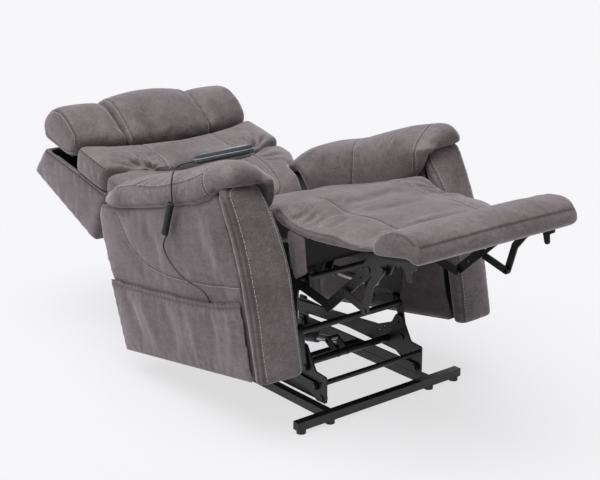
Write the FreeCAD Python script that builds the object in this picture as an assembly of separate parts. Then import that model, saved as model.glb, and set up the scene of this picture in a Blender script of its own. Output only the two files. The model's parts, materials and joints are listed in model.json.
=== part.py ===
"""A powered lift recliner: floor frame, four-bar lift, tilting seat carriage, scissor footrest,
reclining back with a tilting headrest, upholstered arms and a corded handset."""

import FreeCAD, Part
import math
import os
from FreeCAD import Placement, Rotation, Vector

# ---- driving dimensions, millimetres and degrees ---------------------------------------------
HALF_WIDTH = 450.0  # centre plane to the outer face of an arm
ARM_INNER = 305.0  # centre plane to the inner face of an arm
SEAT_HALF = 250.0  # half width of the seat between the arm pads
BACK_HALF = 353.0  # half width of the upper back
PAD_INNER = 257.0  # inner face of an arm pad

TILT_BACK = 9.39  # the stored pose is tilted back by this much
BACK_ANGLE = 22.0  # the stored back leans this far above the seat plane
BODY_FRONT_Y = -16.1  # where the front bottom edge of the arms stands, from the base's front
BODY_FRONT_Z = 184.1

TUBE = 25.4  # square tube of the floor frame
GLIDE = 12.0  # height of the glides
PLATE = 6.0  # thickness of the lift linkage plates
STRAP = 5.0  # thickness of the footrest links
PIN_R = 6.0
RIVET_R = 5.0
RUN = 0.05  # radial running clearance of a pin in its hole
OPEN_PIVOT = 1.6  # extra radial clearance where the lift four-bar is opened
SLOT_PLAY = 2.2  # clearance of the tilt link's pin on each side of its slot

# lift linkage pivots in the side plane (y, z), chair lowered
LOWER_REAR = (600.0, 58.0)
LOWER_FRONT = (60.0, 58.0)
UPPER_REAR = (631.0, 110.8)
UPPER_FRONT = (82.7, 89.6)
TILT_LINK_FOOT = (126.0, 135.0)
TILT_LINK_BEND = (150.0, 238.0)
TILT_LINK_TIP = (178.0, 250.0)
CARRIAGE_PIVOT = (700.0, 80.0)
TILT_LINK_SWING = 53.0  # how far the tilt links fold as the seat comes level
LIFT_ACTUATOR_FOOT = (600.0, 62.0)
LIFT_ACTUATOR_EYE = (236.0, 140.0)
LIFT_EYE_TUBE = (190.0, 113.0)

# footrest pivots in the body's side plane (y, z)
LEG_ROOT = (90.0, 245.0)
LEG_KNEE = (-56.0, 190.0)
LEG_HEAD = (-250.0, 311.0)
BRACE_ROOT = (-143.3, 244.5)
BRACE_ELBOW = (-235.0, 202.0)
BRACE_BEND = (-271.0, 275.0)
BRACE_HEAD = (-320.0, 318.0)
LEG_CRANK = (115.0, 175.0)
LEG_ACTUATOR_FOOT = (596.0, 236.0)
PAD_HINGE = (82.0, 400.0)

# back pivots
BACK_PIVOT = (600.0, 300.0)
BACK_LEVER = (535.0, 236.0)
BACK_ACTUATOR_FOOT = (195.0, 225.0)
HEAD_PIVOT = (565.0, 66.0)  # in the back's own plane (along, out)

# handset and its cord
HANDSET_REAR = Vector(-370.0, 322.0, 603.0)
HANDSET_FRONT = Vector(-290.0, 159.0, 625.0)
HANDSET_WIDTH = 50.0
HANDSET_THICK = 25.0
CORD_D = 5.0
COIL_D = 21.0

# side layers of the linkage: inner face of each plate, from the centre plane
LAYER = {
    "lower_upright": 168.0,
    "lower_arm": 176.0,
    "lift_side": 184.0,
    "upper_arm": 192.0,
    "carriage": 200.0,
    "upper_upright": 200.0,
    "leg_rear": 240.0,
    "leg_front": 247.0,
    "leg_bracket": 254.0,
    "brace_short": 261.0,
    "brace_long": 268.0,
}

BODY = Placement(Vector(0, BODY_FRONT_Y, BODY_FRONT_Z), Rotation(Vector(1, 0, 0), -TILT_BACK))
BACK = BODY.multiply(
    Placement(Vector(0, BACK_PIVOT[0], BACK_PIVOT[1]), Rotation(Vector(1, 0, 0), BACK_ANGLE))
)
FLOOR = Placement()

parts = {}


# ---- shape helpers -------------------------------------------------------------------------
def add(name, shape, frame=FLOOR):
    """Keep one named piece, moved from the frame it is drawn in to the row's frame."""
    placed = shape.copy()
    placed.Placement = frame.multiply(placed.Placement)
    parts[name] = placed


def outline(points, radii):
    """A closed wire in the YZ plane at x = 0, each corner rounded by its own radius."""
    count = len(points)
    if not isinstance(radii, (list, tuple)):
        radii = [radii] * count
    corners = [Vector(0, y, z) for y, z in points]
    edges = []
    ends = []
    for i, corner in enumerate(corners):
        before = corners[i - 1] - corner
        after = corners[(i + 1) % count] - corner
        half = before.getAngle(after) / 2
        reach = radii[i] / math.tan(half)
        reach = min(reach, 0.48 * before.Length, 0.48 * after.Length)
        if radii[i] <= 0 or math.pi / 2 - half < 0.005:
            ends.append((corner, corner, corner))
            continue
        start = corner + before.normalize() * reach
        stop = corner + after.normalize() * reach
        radius = reach * math.tan(half)
        inward = (before + after).normalize()
        middle = corner + inward * (radius / math.sin(half) - radius)
        ends.append((start, middle, stop))
    for i, (start, middle, stop) in enumerate(ends):
        if (start - stop).Length > 1e-6:
            edges.append(Part.Arc(start, middle, stop).toShape())
        following = ends[(i + 1) % count][0]
        if (following - stop).Length > 1e-6:
            edges.append(Part.LineSegment(stop, following).toShape())
    return Part.Wire(edges)


def prism(points, x0, x1, radii=0.0):
    """A side-plane outline made solid from x0 to x1."""
    face = Part.Face(outline(points, radii))
    face.translate(Vector(x0, 0, 0))
    return face.extrude(Vector(x1 - x0, 0, 0))


def soft_prism(points, x0, x1, radii, edge):
    """A prism whose two end outlines are rounded over, as on a stuffed piece."""
    solid = prism(points, x0, x1, radii)
    rim = []
    for piece in solid.Edges:
        xs = [vertex.X for vertex in piece.Vertexes]
        if max(xs) - min(xs) < 1e-6:
            rim.append(piece)
    return solid.makeFillet(edge, rim)


def block(x0, x1, y0, y1, z0, z1):
    return Part.makeBox(x1 - x0, y1 - y0, z1 - z0, Vector(x0, y0, z0))


def rod(point, radius, x0, x1):
    """A round bar along x through a side-plane point."""
    return Part.makeCylinder(radius, x1 - x0, Vector(x0, point[0], point[1]), Vector(1, 0, 0))


def strap(points, half, x0, thick, holes=(), hole_r=RIVET_R + RUN):
    """A flat bar with round ends through side-plane points, bored at the given points."""
    solid = None
    for start, stop in zip(points, points[1:]):
        along = Vector(0, stop[0] - start[0], stop[1] - start[1])
        side = Vector(0, -along.z, along.y).normalize() * half
        first = Vector(x0, *start)
        last = Vector(x0, *stop)
        ring = [first + side, last + side, last - side, first - side, first + side]
        bar = Part.Face(Part.makePolygon(ring)).extrude(Vector(thick, 0, 0))
        for end in (start, stop):
            bar = bar.fuse(rod(end, half, x0, x0 + thick))
        solid = bar if solid is None else solid.fuse(bar)
    solid = solid.removeSplitter()
    for hole in holes:
        solid = solid.cut(rod(hole, hole_r, x0 - 1, x0 + thick + 1))
    return solid


def rivet(point, x0, x1, radius=RIVET_R, head=2.5, head_r=9.0, inner_head=True):
    """A pin along x with a flat head beyond its outer end, and beyond its inner end if asked."""
    shank = rod(point, radius, x0 - 0.3 if inner_head else x0, x1 + 0.3)
    heads = [rod(point, head_r, x1 + 0.3, x1 + 0.3 + head)]
    if inner_head:
        heads.append(rod(point, head_r, x0 - 0.3 - head, x0 - 0.3))
    return shank.fuse(heads).removeSplitter()


def mirrored(shape):
    return shape.mirror(Vector(0, 0, 0), Vector(1, 0, 0))


def both_sides(shape):
    return Part.makeCompound([shape, mirrored(shape)])


def group(*shapes):
    """Separate solids kept in one node."""
    return Part.makeCompound(list(shapes))


def welded(base, pieces):
    """Pieces trimmed to the base that they are welded to, each still a solid of its own."""
    return group(base, *[piece.cut(base) for piece in pieces])


# ---- floor frame ---------------------------------------------------------------------------
def base_frame():
    """Welded square tube: front bar, two side rails, rear bar and the pivot uprights."""
    top = GLIDE + TUBE
    rail_in = 182.0
    rail_out = rail_in + TUBE
    front = block(-316.5, 316.5, 0, TUBE, GLIDE, top)
    rear = block(-rail_in, rail_in, 588, 588 + TUBE, GLIDE, top)
    frame = front.fuse(rear)
    for side in (1, -1):
        rail = block(rail_in, rail_out, TUBE, 655, GLIDE, top)
        low = LAYER["lower_upright"]
        lower = prism([(580, top), (616, top), (612, 76), (588, 76)], low, low + PLATE, 5)
        lower = lower.cut(rod(LOWER_REAR, PIN_R + RUN, low - 1, low + PLATE + 1))
        high = LAYER["upper_upright"]
        upper = prism([(602, top), (655, top), (648, 128), (614, 128)], high, high + PLATE, 6)
        upper = upper.cut(rod(UPPER_REAR, PIN_R + RUN, high - 1, high + PLATE + 1))
        ear = prism([(585, top), (613, top), (611, 77), (589, 77)], 20, 25, 4)
        ear = ear.cut(rod(LIFT_ACTUATOR_FOOT, PIN_R + RUN, 19, 26))
        for piece in (rail, lower, upper, ear):
            frame = frame.fuse(piece if side > 0 else mirrored(piece))
    return frame.removeSplitter()


def glides():
    """Round plastic glides under the corners."""
    pads = []
    for x in (-300, -194.7, 194.7, 300):
        pads.append(Part.makeCylinder(14, GLIDE, Vector(x, TUBE / 2, 0)))
    for x in (-194.7, 194.7):
        pads.append(Part.makeCylinder(14, GLIDE, Vector(x, 630, 0)))
    return Part.makeCompound(pads)


def end_caps():
    """Plastic plugs that close the front bar and the rails."""
    middle = GLIDE + TUBE / 2
    caps = []
    for side in (1, -1):
        cap = block(316.5, 319.5, 1, TUBE - 1, GLIDE + 1, GLIDE + TUBE - 1)
        tail = block(183, 206.4, 655, 658, middle - 11.5, middle + 11.5)
        caps += [cap, tail] if side > 0 else [mirrored(cap), mirrored(tail)]
    return Part.makeCompound(caps)


# ---- lift linkage --------------------------------------------------------------------------
def lower_arm():
    return strap([LOWER_REAR, LOWER_FRONT], 14, LAYER["lower_arm"], PLATE,
                 [LOWER_REAR, LOWER_FRONT], PIN_R + RUN)


def upper_arm():
    x0 = LAYER["upper_arm"]
    bar = strap([UPPER_REAR, UPPER_FRONT], 13, x0, PLATE, [UPPER_REAR], PIN_R + RUN)
    return bar.cut(rod(UPPER_FRONT, PIN_R + OPEN_PIVOT, x0 - 1, x0 + PLATE + 1))


def lift_side():
    """Front bracket with its curved rear edge, drawn out into the rail that carries the seat."""
    x0 = LAYER["lift_side"]
    points = [(38, 47), (38, 128), (86, 132), (126, 202), (152, 205), (172, 172), (236, 146),
              (640, 112), (712, 98), (712, 62), (640, 76), (225, 104), (150, 84), (78, 45)]
    radii = [6, 6, 10, 10, 10, 18, 20, 10, 16, 16, 10, 30, 20, 8]
    plate = prism(points, x0, x0 + PLATE, radii)
    for hole in (LOWER_FRONT, UPPER_FRONT, TILT_LINK_FOOT, CARRIAGE_PIVOT):
        plate = plate.cut(rod(hole, PIN_R + RUN, x0 - 1, x0 + PLATE + 1))
    for hole in ((140, 180), (205, 146), (228, 128), (60, 105)):
        plate = plate.cut(rod(hole, 4.2, x0 - 1, x0 + PLATE + 1))
    return plate


def lift_eye():
    """Two lugs on the rear cross tube that take the lift actuator's eye."""
    lugs = []
    for x0 in (15, -20):
        lug = strap([LIFT_EYE_TUBE, LIFT_ACTUATOR_EYE], 12, x0, 5, [LIFT_ACTUATOR_EYE], PIN_R + RUN)
        lugs.append(lug)
    cross = rod(LIFT_EYE_TUBE, 11, -LAYER["lift_side"], LAYER["lift_side"])
    return welded(cross, lugs)


def tilt_link():
    x0 = LAYER["upper_arm"]
    return strap([TILT_LINK_FOOT, TILT_LINK_BEND, TILT_LINK_TIP], 13, x0, PLATE,
                 [TILT_LINK_FOOT, TILT_LINK_TIP], PIN_R + RUN)


def actuator_housing(foot, eye, x, half, length, motor_side):
    """Gearmotor and outer tube, pointing from its foot pivot towards the eye."""
    along = Vector(0, eye[0] - foot[0], eye[1] - foot[1]).normalize()
    across = Vector(0, -along.z, along.y) * motor_side
    base = Vector(x, *foot)
    lug = rod(foot, 13, x - half, x + half)
    lug = lug.fuse(Part.makeCylinder(9, 26, base, along))
    lug = lug.cut(rod(foot, PIN_R + RUN, x - half - 1, x + half + 1))
    gearbox = Part.makeCylinder(24, 52, base + along * 22, along)
    outer = Part.makeCylinder(17, length - 74, base + along * 74, along)
    outer = outer.cut(Part.makeCylinder(11.2, length - 80, base + along * 86, along))
    motor = Part.makeCylinder(21, 62, base + along * 48 + across * 12, across)
    return lug.fuse([gearbox, outer, motor]).removeSplitter()


def actuator_rod(foot, eye, x, half, start):
    """Bright push rod with an eye at its end and a pin cut flush in the eye."""
    along = Vector(0, eye[0] - foot[0], eye[1] - foot[1])
    reach = along.Length
    along.normalize()
    base = Vector(x, *foot)
    shaft = Part.makeCylinder(11, reach - start - 6, base + along * start, along)
    end = rod(eye, 12, x - half, x + half)
    end = shaft.fuse(end).removeSplitter().cut(rod(eye, PIN_R + RUN, x - half - 1, x + half + 1))
    return group(end, rod(eye, PIN_R, x - half, x + half))


def pivot_pins(point, x0, x1, inner_head=True):
    """Headed pins through the stacked plates of both sides."""
    return both_sides(rivet(point, x0, x1, PIN_R, 3, 10, inner_head))


# ---- seat carriage -------------------------------------------------------------------------
def slot_path():
    """Where the tilt link's pin runs in the body's plane as the seat comes level."""
    places = []
    inverse = BODY.inverse()
    for share in (0.0, 0.5, 1.0):
        swing = Rotation(Vector(1, 0, 0), -TILT_LINK_SWING * share)
        foot = Vector(0, *TILT_LINK_FOOT)
        tip = foot + swing.multVec(Vector(0, *TILT_LINK_TIP) - foot)
        pivot = Vector(0, *CARRIAGE_PIVOT)
        back = Rotation(Vector(1, 0, 0), -TILT_BACK * share)
        tip = pivot + back.multVec(tip - pivot)
        places.append(inverse.multVec(tip))
    return places


def carriage_side():
    """Seat rail with a slotted front hanger and a rear leg down to the carriage pivot."""
    x0 = LAYER["carriage"]
    foot = BODY.inverse().multVec(Vector(0, *CARRIAGE_PIVOT))
    points = [(70, 222), (70, 262), (752, 262), (752, 180), (742, -6), (705, -6), (690, 200),
              (330, 205), (296, 120), (292, 74), (160, 74), (150, 120), (130, 210)]
    radii = [10, 8, 8, 20, 18, 18, 20, 30, 20, 14, 14, 20, 20]
    plate = prism(points, x0, x0 + PLATE, radii)
    first, middle, last = slot_path()
    plate = plate.cut(swept_slot(first, middle, last, PIN_R + SLOT_PLAY, x0 - 1, x0 + PLATE + 1))
    plate = plate.cut(rod((foot.y, foot.z), PIN_R + RUN, x0 - 1, x0 + PLATE + 1))
    return plate.cut(rod(LEG_ROOT, 9.0 + 0.1, x0 - 1, x0 + PLATE + 1))


def swept_slot(first, middle, last, half, x0, x1):
    """An arc-shaped slot of the given half width, with round ends."""
    circle = Part.Arc(first, middle, last).toShape().Curve
    centre = circle.Center
    radius = circle.Radius
    ring = rod((centre.y, centre.z), radius + half, x0, x1)
    ring = ring.cut(rod((centre.y, centre.z), radius - half, x0 - 1, x1 + 1))
    reach = (last - first).normalize()
    window = block(x0, x1, first.y, last.y, middle.z - 60, middle.z + 60)
    slot = ring.common(window)
    for end in (first, last):
        slot = slot.fuse(rod((end.y, end.z), half, x0, x1))
    return slot.removeSplitter()


def carriage_front_tube():
    """Square cross tube with the two ears that hold the recline actuator."""
    tube = block(-250, 250, 150, 175, 262, 287)
    ears = []
    for x0 in (-80, -45):
        ear = prism([(152, 262), (175, 262), (212, 236), (207, 211), (184, 211)], x0, x0 + 5, 5)
        ears.append(ear.cut(rod(BACK_ACTUATOR_FOOT, PIN_R + RUN, x0 - 1, x0 + 6)))
    return welded(tube, ears)


def carriage_rear_tube():
    """Square cross tube with the recline ears and the footrest actuator's ears."""
    tube = block(-250, 250, 620, 645, 262, 287)
    ears = []
    for side in (1, -1):
        ear = prism([(582, 268), (642, 268), (622, 318), (580, 318)], 208, 214, 6)
        ear = ear.cut(rod(BACK_PIVOT, PIN_R + RUN, 207, 215))
        ears.append(ear if side > 0 else mirrored(ear))
    for x0 in (40, 75):
        ear = prism([(582, 222), (608, 222), (642, 262), (622, 262), (584, 252)], x0, x0 + 5, 4)
        ears.append(ear.cut(rod(LEG_ACTUATOR_FOOT, PIN_R + RUN, x0 - 1, x0 + 6)))
    return welded(tube, ears)


def recline_pins():
    pin = rod(BACK_PIVOT, PIN_R, 200.6, 214.3).fuse(rod(BACK_PIVOT, 10, 214.3, 217.3))
    return both_sides(pin.removeSplitter())


# ---- seat ----------------------------------------------------------------------------------
def sinuous_spring(x):
    """One zigzag seat spring between the front and rear rails."""
    height = 352.4
    bend = 12.0
    reach = 17.0
    edges = []
    y = 100.0
    side = 1
    for _ in range(19):
        start = Vector(x - side * reach, y, height)
        stop = Vector(x + side * reach, y, height)
        edges.append(Part.LineSegment(start, stop).toShape())
        tip = Vector(x + side * (reach + bend), y + bend, height)
        after = Vector(x + side * reach, y + 2 * bend, height)
        edges.append(Part.Arc(stop, tip, after).toShape())
        y += 2 * bend
        side = -side
    path = Part.Wire(edges)
    section = Part.Wire([Part.Circle(Vector(x - reach, 100, height), Vector(1, 0, 0), 1.8).toShape()])
    return path.makePipeShell([section], True, False)


def seat_springs():
    return Part.makeCompound([sinuous_spring(x) for x in (-180, -90, 0, 90, 180)])


def seat_cushion():
    points = [(83, 357), (566, 357), (566, 410), (500, 428), (300, 440), (140, 456), (83, 455)]
    return soft_prism(points, -SEAT_HALF, SEAT_HALF, [12, 16, 22, 60, 80, 60, 26], 11)


def legrest_pad():
    points = [(80, 401), (80, 455), (-15, 452), (-120, 433), (-240, 405), (-311, 394),
              (-311, 357.6), (-240, 357.6), (-120, 380)]
    return soft_prism(points, -290, 290, [16, 20, 60, 80, 80, 14, 12, 60, 80], 11)


def bolster():
    """The rolled foot end of the footrest."""
    points = [(-314, 357.6), (-314, 394), (-345, 424), (-400, 434), (-462, 422), (-500, 384),
              (-498, 350), (-466, 338), (-453, 346), (-452, 357.6)]
    return soft_prism(points, -298, 298, [10, 20, 30, 50, 36, 20, 16, 12, 2, 2], 8)


# ---- footrest linkage ----------------------------------------------------------------------
def leg_torque_tube():
    """Tube that ties the rear links together, with the crank that the actuator pulls."""
    tube = rod(LEG_ROOT, 9, -LAYER["leg_rear"], LAYER["leg_rear"])
    cranks = [strap([LEG_ROOT, LEG_CRANK], 13, x0, 5, [LEG_CRANK], PIN_R + RUN) for x0 in (40, 75)]
    return welded(tube, cranks)


def leg_rear_link():
    return strap([LEG_ROOT, LEG_KNEE], 13, LAYER["leg_rear"], STRAP, [LEG_KNEE])


def leg_front_link():
    """Wide bar with a row of lightening holes."""
    x0 = LAYER["leg_front"]
    bar = strap([LEG_KNEE, LEG_HEAD], 14, x0, STRAP, [LEG_KNEE, LEG_HEAD, BRACE_ROOT])
    for share in (0.25, 0.62, 0.8):
        y = LEG_KNEE[0] + share * (LEG_HEAD[0] - LEG_KNEE[0])
        z = LEG_KNEE[1] + share * (LEG_HEAD[1] - LEG_KNEE[1])
        bar = bar.cut(rod((y, z), 4, x0 - 1, x0 + STRAP + 1))
    return bar


def leg_bracket():
    """Pressed bracket under the board, with the stop hook at its front."""
    x0 = LAYER["leg_bracket"]
    points = [(-237, 297), (-237, 330), (-262, 345), (-434, 345), (-434, 326), (-414, 320),
              (-412, 292), (-396, 292), (-392, 326), (-350, 327), (-334, 305), (-306, 304), (-264, 297)]
    radii = [12, 10, 4, 4, 8, 6, 7, 7, 6, 8, 10, 12, 12]
    plate = prism(points, x0, x0 + STRAP, radii)
    for hole in (LEG_HEAD, BRACE_HEAD):
        plate = plate.cut(rod(hole, RIVET_R + RUN, x0 - 1, x0 + STRAP + 1))
    for y in (-360, -378):
        plate = plate.cut(rod((y, 330), 3.5, x0 - 1, x0 + STRAP + 1))
    return plate


def brace_long():
    return strap([BRACE_HEAD, BRACE_BEND, BRACE_ELBOW], 11, LAYER["brace_long"], STRAP,
                 [BRACE_HEAD, BRACE_ELBOW], RIVET_R + RUN)


def brace_short():
    return strap([BRACE_ROOT, BRACE_ELBOW], 11, LAYER["brace_short"], STRAP,
                 [BRACE_ROOT, BRACE_ELBOW])


# ---- arms ----------------------------------------------------------------------------------
def arm_facing():
    """Upholstered front slab that leans back towards its top."""
    points = [(5, 0), (52, 0), (60, 110), (66, 230), (80, 340), (100, 420), (118, 466), (131, 531),
              (90, 531), (70, 475), (52, 420), (32, 340), (18, 230), (12, 110)]
    radii = [12, 12, 60, 60, 60, 60, 60, 12, 16, 60, 60, 60, 60, 60]
    return soft_prism(points, ARM_INNER, HALF_WIDTH, radii, 9)


def arm_side_outline():
    """Side outline of an arm behind its facing."""
    return [(53.5, 1), (735, 1), (803, 338), (806, 430), (794, 452), (114, 452), (101.5, 420),
            (81.5, 340), (67.5, 230), (61.5, 110)]


def arm_rear_panel(outer):
    """Strip that closes the arm's back, one piece with the outer panel."""
    points = [(717, 1), (735, 1), (803, 338), (806, 430), (794, 452), (780, 452), (788, 430), (785, 338)]
    return prism(points, ARM_INNER, outer, 6)


def arm_outer_panel(outer):
    radii = [8, 30, 30, 30, 20, 8, 20, 30, 30, 30]
    panel = prism(arm_side_outline(), 424, outer, radii)
    return panel.fuse(arm_rear_panel(425)).removeSplitter()


def arm_inner_panel():
    points = [(53.5, 1), (714, 1), (782, 338), (776, 450), (114, 450), (101.5, 420),
              (81.5, 340), (67.5, 230), (61.5, 110)]
    return prism(points, ARM_INNER, ARM_INNER + 18, [6, 6, 20, 8, 8, 20, 30, 30, 30])


def arm_frame():
    """Wooden core: a web with bottom and top rails and a front post."""
    web = prism([(64, 6), (712, 6), (778, 330), (778, 445), (120, 445), (92, 340), (76, 200)], 368, 382)
    bottom = block(324, 423, 80, 700, 6, 34)
    top = block(324, 423, 130, 770, 420, 445)
    post = prism([(72, 34), (110, 34), (150, 420), (122, 420)], 324, 423)
    return web.fuse([bottom, top, post]).removeSplitter()


def arm_inner_pad():
    points = [(90, 352), (640, 352), (640, 452), (137, 452), (137, 532), (62, 532), (50, 505),
              (56, 482), (90, 470)]
    radii = [20, 20, 6, 6, 6, 12, 16, 12, 12]
    return soft_prism(points, PAD_INNER, ARM_INNER - 0.3, radii, 5)


def arm_pad():
    """Pillow top that swells into a hump at the front."""
    points = [(58, 534), (138, 534), (138, 454), (786, 454), (806, 466), (790, 484), (774, 498),
              (685, 536), (575, 554), (421, 565), (275, 588), (178, 606), (134, 613), (94, 611),
              (64, 596), (50, 568)]
    radii = [14, 6, 8, 8, 8, 10, 30, 90, 200, 300, 300, 90, 90, 40, 30, 30]
    return soft_prism(points, PAD_INNER, 447, radii, 14)


def side_pocket():
    """Cloth pocket on the right arm: a panel held off the arm by its bottom and end seams."""
    front = prism([(72, 6), (727, 6), (772, 232), (478, 217), (204, 217), (76, 234)], -450, -445, 8)
    inner = prism([(92, 22), (712, 22), (752, 214), (752, 260), (84, 260), (84, 214)], -446, -436, 6)
    spacer = prism([(72, 6), (727, 6), (772, 232), (478, 217), (204, 217), (76, 234)], -446, -437.2, 8)
    return front.fuse(spacer.cut(inner)).removeSplitter()


# ---- back ----------------------------------------------------------------------------------
def back_side_plate():
    points = [(-15, -12), (15, -16), (120, 20), (330, 22), (330, 50), (70, 50), (-15, 14)]
    plate = prism(points, 200, 206, [12, 12, 20, 6, 6, 16, 12])
    for hole in ((0, 0), (150, 36), (300, 36)):
        plate = plate.cut(rod(hole, PIN_R + RUN, 199, 207))
    return plate


def back_torque_tube():
    """Tube between the side plates, with the crank that the recline actuator pushes."""
    turned = Rotation(Vector(1, 0, 0), -BACK_ANGLE).multVec(
        Vector(0, BACK_LEVER[0] - BACK_PIVOT[0], BACK_LEVER[1] - BACK_PIVOT[1]))
    eye = (turned.y, turned.z)
    tube = rod((0, 0), 11, -200, 200)
    levers = [strap([(0, 0), eye], 13, x0, 5, [eye], PIN_R + RUN) for x0 in (-80, -45)]
    return welded(tube, levers)


def back_stile():
    return block(206, 231, 62, 575, 22, 50)


def back_cross_rails():
    rails = [block(-206, 206, low, low + 40, 24, 48) for low in (336, 440, 530)]
    return Part.makeCompound(rails)


def back_shell():
    """Upholstered rear casing: an open-fronted tray behind the upper back."""
    outer = prism([(368, 5), (770, 18), (839, -82), (403, -158)], -BACK_HALF, BACK_HALF, [14, 26, 26, 26])
    inner = prism([(386, 40), (762, 40), (760, 6), (808, -72), (414, -138), (386, -20)],
                  18 - BACK_HALF, BACK_HALF - 18, [2, 2, 12, 14, 14, 12])
    return outer.cut(inner)


def shell_brackets():
    """Two straps that hang the rear casing on the back's stiles."""
    bar = block(208, 229, 371, 769, 18.4, 21.8)
    foot = block(208, 229, 371, 384, 6.2, 18.4)
    return both_sides(bar.fuse(foot).removeSplitter())


def back_lining():
    return block(-199, 199, 120, 366, 13, 18)


def lumbar_cushion():
    return soft_prism([(108, 52), (272, 52), (272, 137), (108, 137)], -246, 246, 24, 12)


def shoulder_cushion():
    """Wide cushion with wings, between the lumbar cushion and the headrest."""
    points = [(276, 60), (533, 60), (533, 136), (276, 142)]
    wide = soft_prism(points, -BACK_HALF, BACK_HALF, [24, 22, 22, 26], 12)
    return wide


def headrest_ear():
    ear = prism([(546, 24), (576, 24), (576, 76), (552, 76)], 231, 237, [2, 2, 8, 8])
    return ear.cut(rod(HEAD_PIVOT, PIN_R + RUN, 230, 238))


def headrest_arm():
    return strap([HEAD_PIVOT, (700, HEAD_PIVOT[1])], 9, 239, PLATE, [HEAD_PIVOT], PIN_R + RUN)


def headrest_board():
    return block(-340, 340, 592, 774, 75.5, 84)


def headrest_side_pad():
    points = [(580, 84.3), (548, 130), (680, 208), (752, 166), (784, 94), (776, 84.3)]
    return soft_prism(points, 168.5, BACK_HALF, [10, 20, 34, 34, 16, 4], 3)


def headrest_pillow():
    points = [(580, 84.3), (543, 140), (672, 222), (760, 184), (796, 106), (778, 84.3)]
    return soft_prism(points, -168, 168, [10, 22, 34, 34, 16, 8], 3)


# ---- handset and cord ----------------------------------------------------------------------
def handset_frame():
    """Placement whose X runs from the handset's front to its cord end and Z is its face's normal."""
    along = (HANDSET_REAR - HANDSET_FRONT).normalize()
    up = (Vector(0, 0, 1) - along * along.z).normalize()
    across = up.cross(along)
    middle = (HANDSET_REAR + HANDSET_FRONT) * 0.5
    matrix = FreeCAD.Matrix(along.x, across.x, up.x, middle.x, along.y, across.y, up.y, middle.y,
                            along.z, across.z, up.z, middle.z, 0, 0, 0, 1)
    return BODY.multiply(Placement(matrix))


def pill(length, width, low, high, corner):
    """A rounded rectangle standing between two heights."""
    solid = block(-length / 2, length / 2, -width / 2, width / 2, low, high)
    upright = []
    for edge in solid.Edges:
        first, last = edge.Vertexes
        if abs(first.X - last.X) < 1e-6 and abs(first.Y - last.Y) < 1e-6:
            upright.append(edge)
    return solid.makeFillet(corner, upright)


def handset_length():
    return (HANDSET_REAR - HANDSET_FRONT).Length


def handset_shell():
    """Lower casing, rounded underneath."""
    half = HANDSET_THICK / 2
    solid = pill(handset_length(), HANDSET_WIDTH, -half, 0, 18)
    under = [edge for edge in solid.Edges if abs(edge.BoundBox.ZMax + half) < 1e-3]
    return solid.makeFillet(8, under)


def button_places():
    """Three rows of two keys, towards the handset's front."""
    return [(x, y) for x in (-62, -36, -10) for y in (-11, 11)]


def handset_face():
    half = HANDSET_THICK / 2
    solid = pill(handset_length() - 3, HANDSET_WIDTH - 3, 2, half, 16.5)
    top = [edge for edge in solid.Edges if abs(edge.BoundBox.ZMin - half) < 1e-3]
    solid = solid.makeFillet(3, top)
    for x, y in button_places():
        well = pill(18.6, 14.6, 5.5, half + 2, 5.3)
        well.translate(Vector(x, y, 0))
        solid = solid.cut(well)
    return solid


def handset_button():
    solid = pill(18, 14, 7.3, HANDSET_THICK / 2 + 1.6, 5)
    top = [edge for edge in solid.Edges if edge.BoundBox.ZMin > HANDSET_THICK / 2]
    return solid.makeFillet(1.2, top)


def strain_relief():
    start = handset_length() / 2 + 0.6
    return Part.makeCone(5.2, 3.0, 16, Vector(start, 0, -4), Vector(1, 0, 0))


def cord_tube(route, label):
    """Round cord along straight runs joined by arcs as large as the runs allow."""
    edges = []
    cursor = route[0]
    for before, corner, after in zip(route, route[1:], route[2:]):
        back = before - corner
        ahead = after - corner
        half_turn = (math.pi - back.getAngle(ahead)) / 2
        reach = 0.45 * min(back.Length, ahead.Length)
        radius = reach / math.tan(half_turn)
        start = corner + back.normalize() * reach
        stop = corner + ahead.normalize() * reach
        inward = (back + ahead).normalize()
        middle = corner + inward * (radius / math.cos(half_turn) - radius)
        edges.append(Part.LineSegment(cursor, start).toShape())
        edges.append(Part.Arc(start, middle, stop).toShape())
        cursor = stop
        print(label, "turn", round(math.degrees(2 * half_turn)), "radius", round(radius, 1))
    edges.append(Part.LineSegment(cursor, route[-1]).toShape())
    path = Part.Wire(edges)
    aim = (route[1] - route[0]).normalize()
    section = Part.Wire([Part.Circle(route[0], aim, CORD_D / 2).toShape()])
    solid = path.makePipeShell([section], True, False)
    print(label, "length", round(path.Length, 1), "volume ratio",
          round(solid.Volume / (path.Length * math.pi * CORD_D**2 / 4), 4))
    return solid


# the cord's route in the body's frame, from the handset over the arm and into the side pocket
CORD_TOP = [(-394, 352, 596), (-416, 352, 591), (-440, 338, 583), (-458, 325, 560), (-464, 325, 527)]
COIL_TOP = Vector(-463, 335, 496)
COIL_END = Vector(-463, 393, 396)
CORD_LOW = [(-462, 411, 366), (-461, 398, 333), (-460, 364, 300), (-459, 318, 274),
            (-457, 272, 260), (-448, 240, 243), (-441.2, 228, 215)]
CORD_END = Vector(-441, 226, 180)


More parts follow.
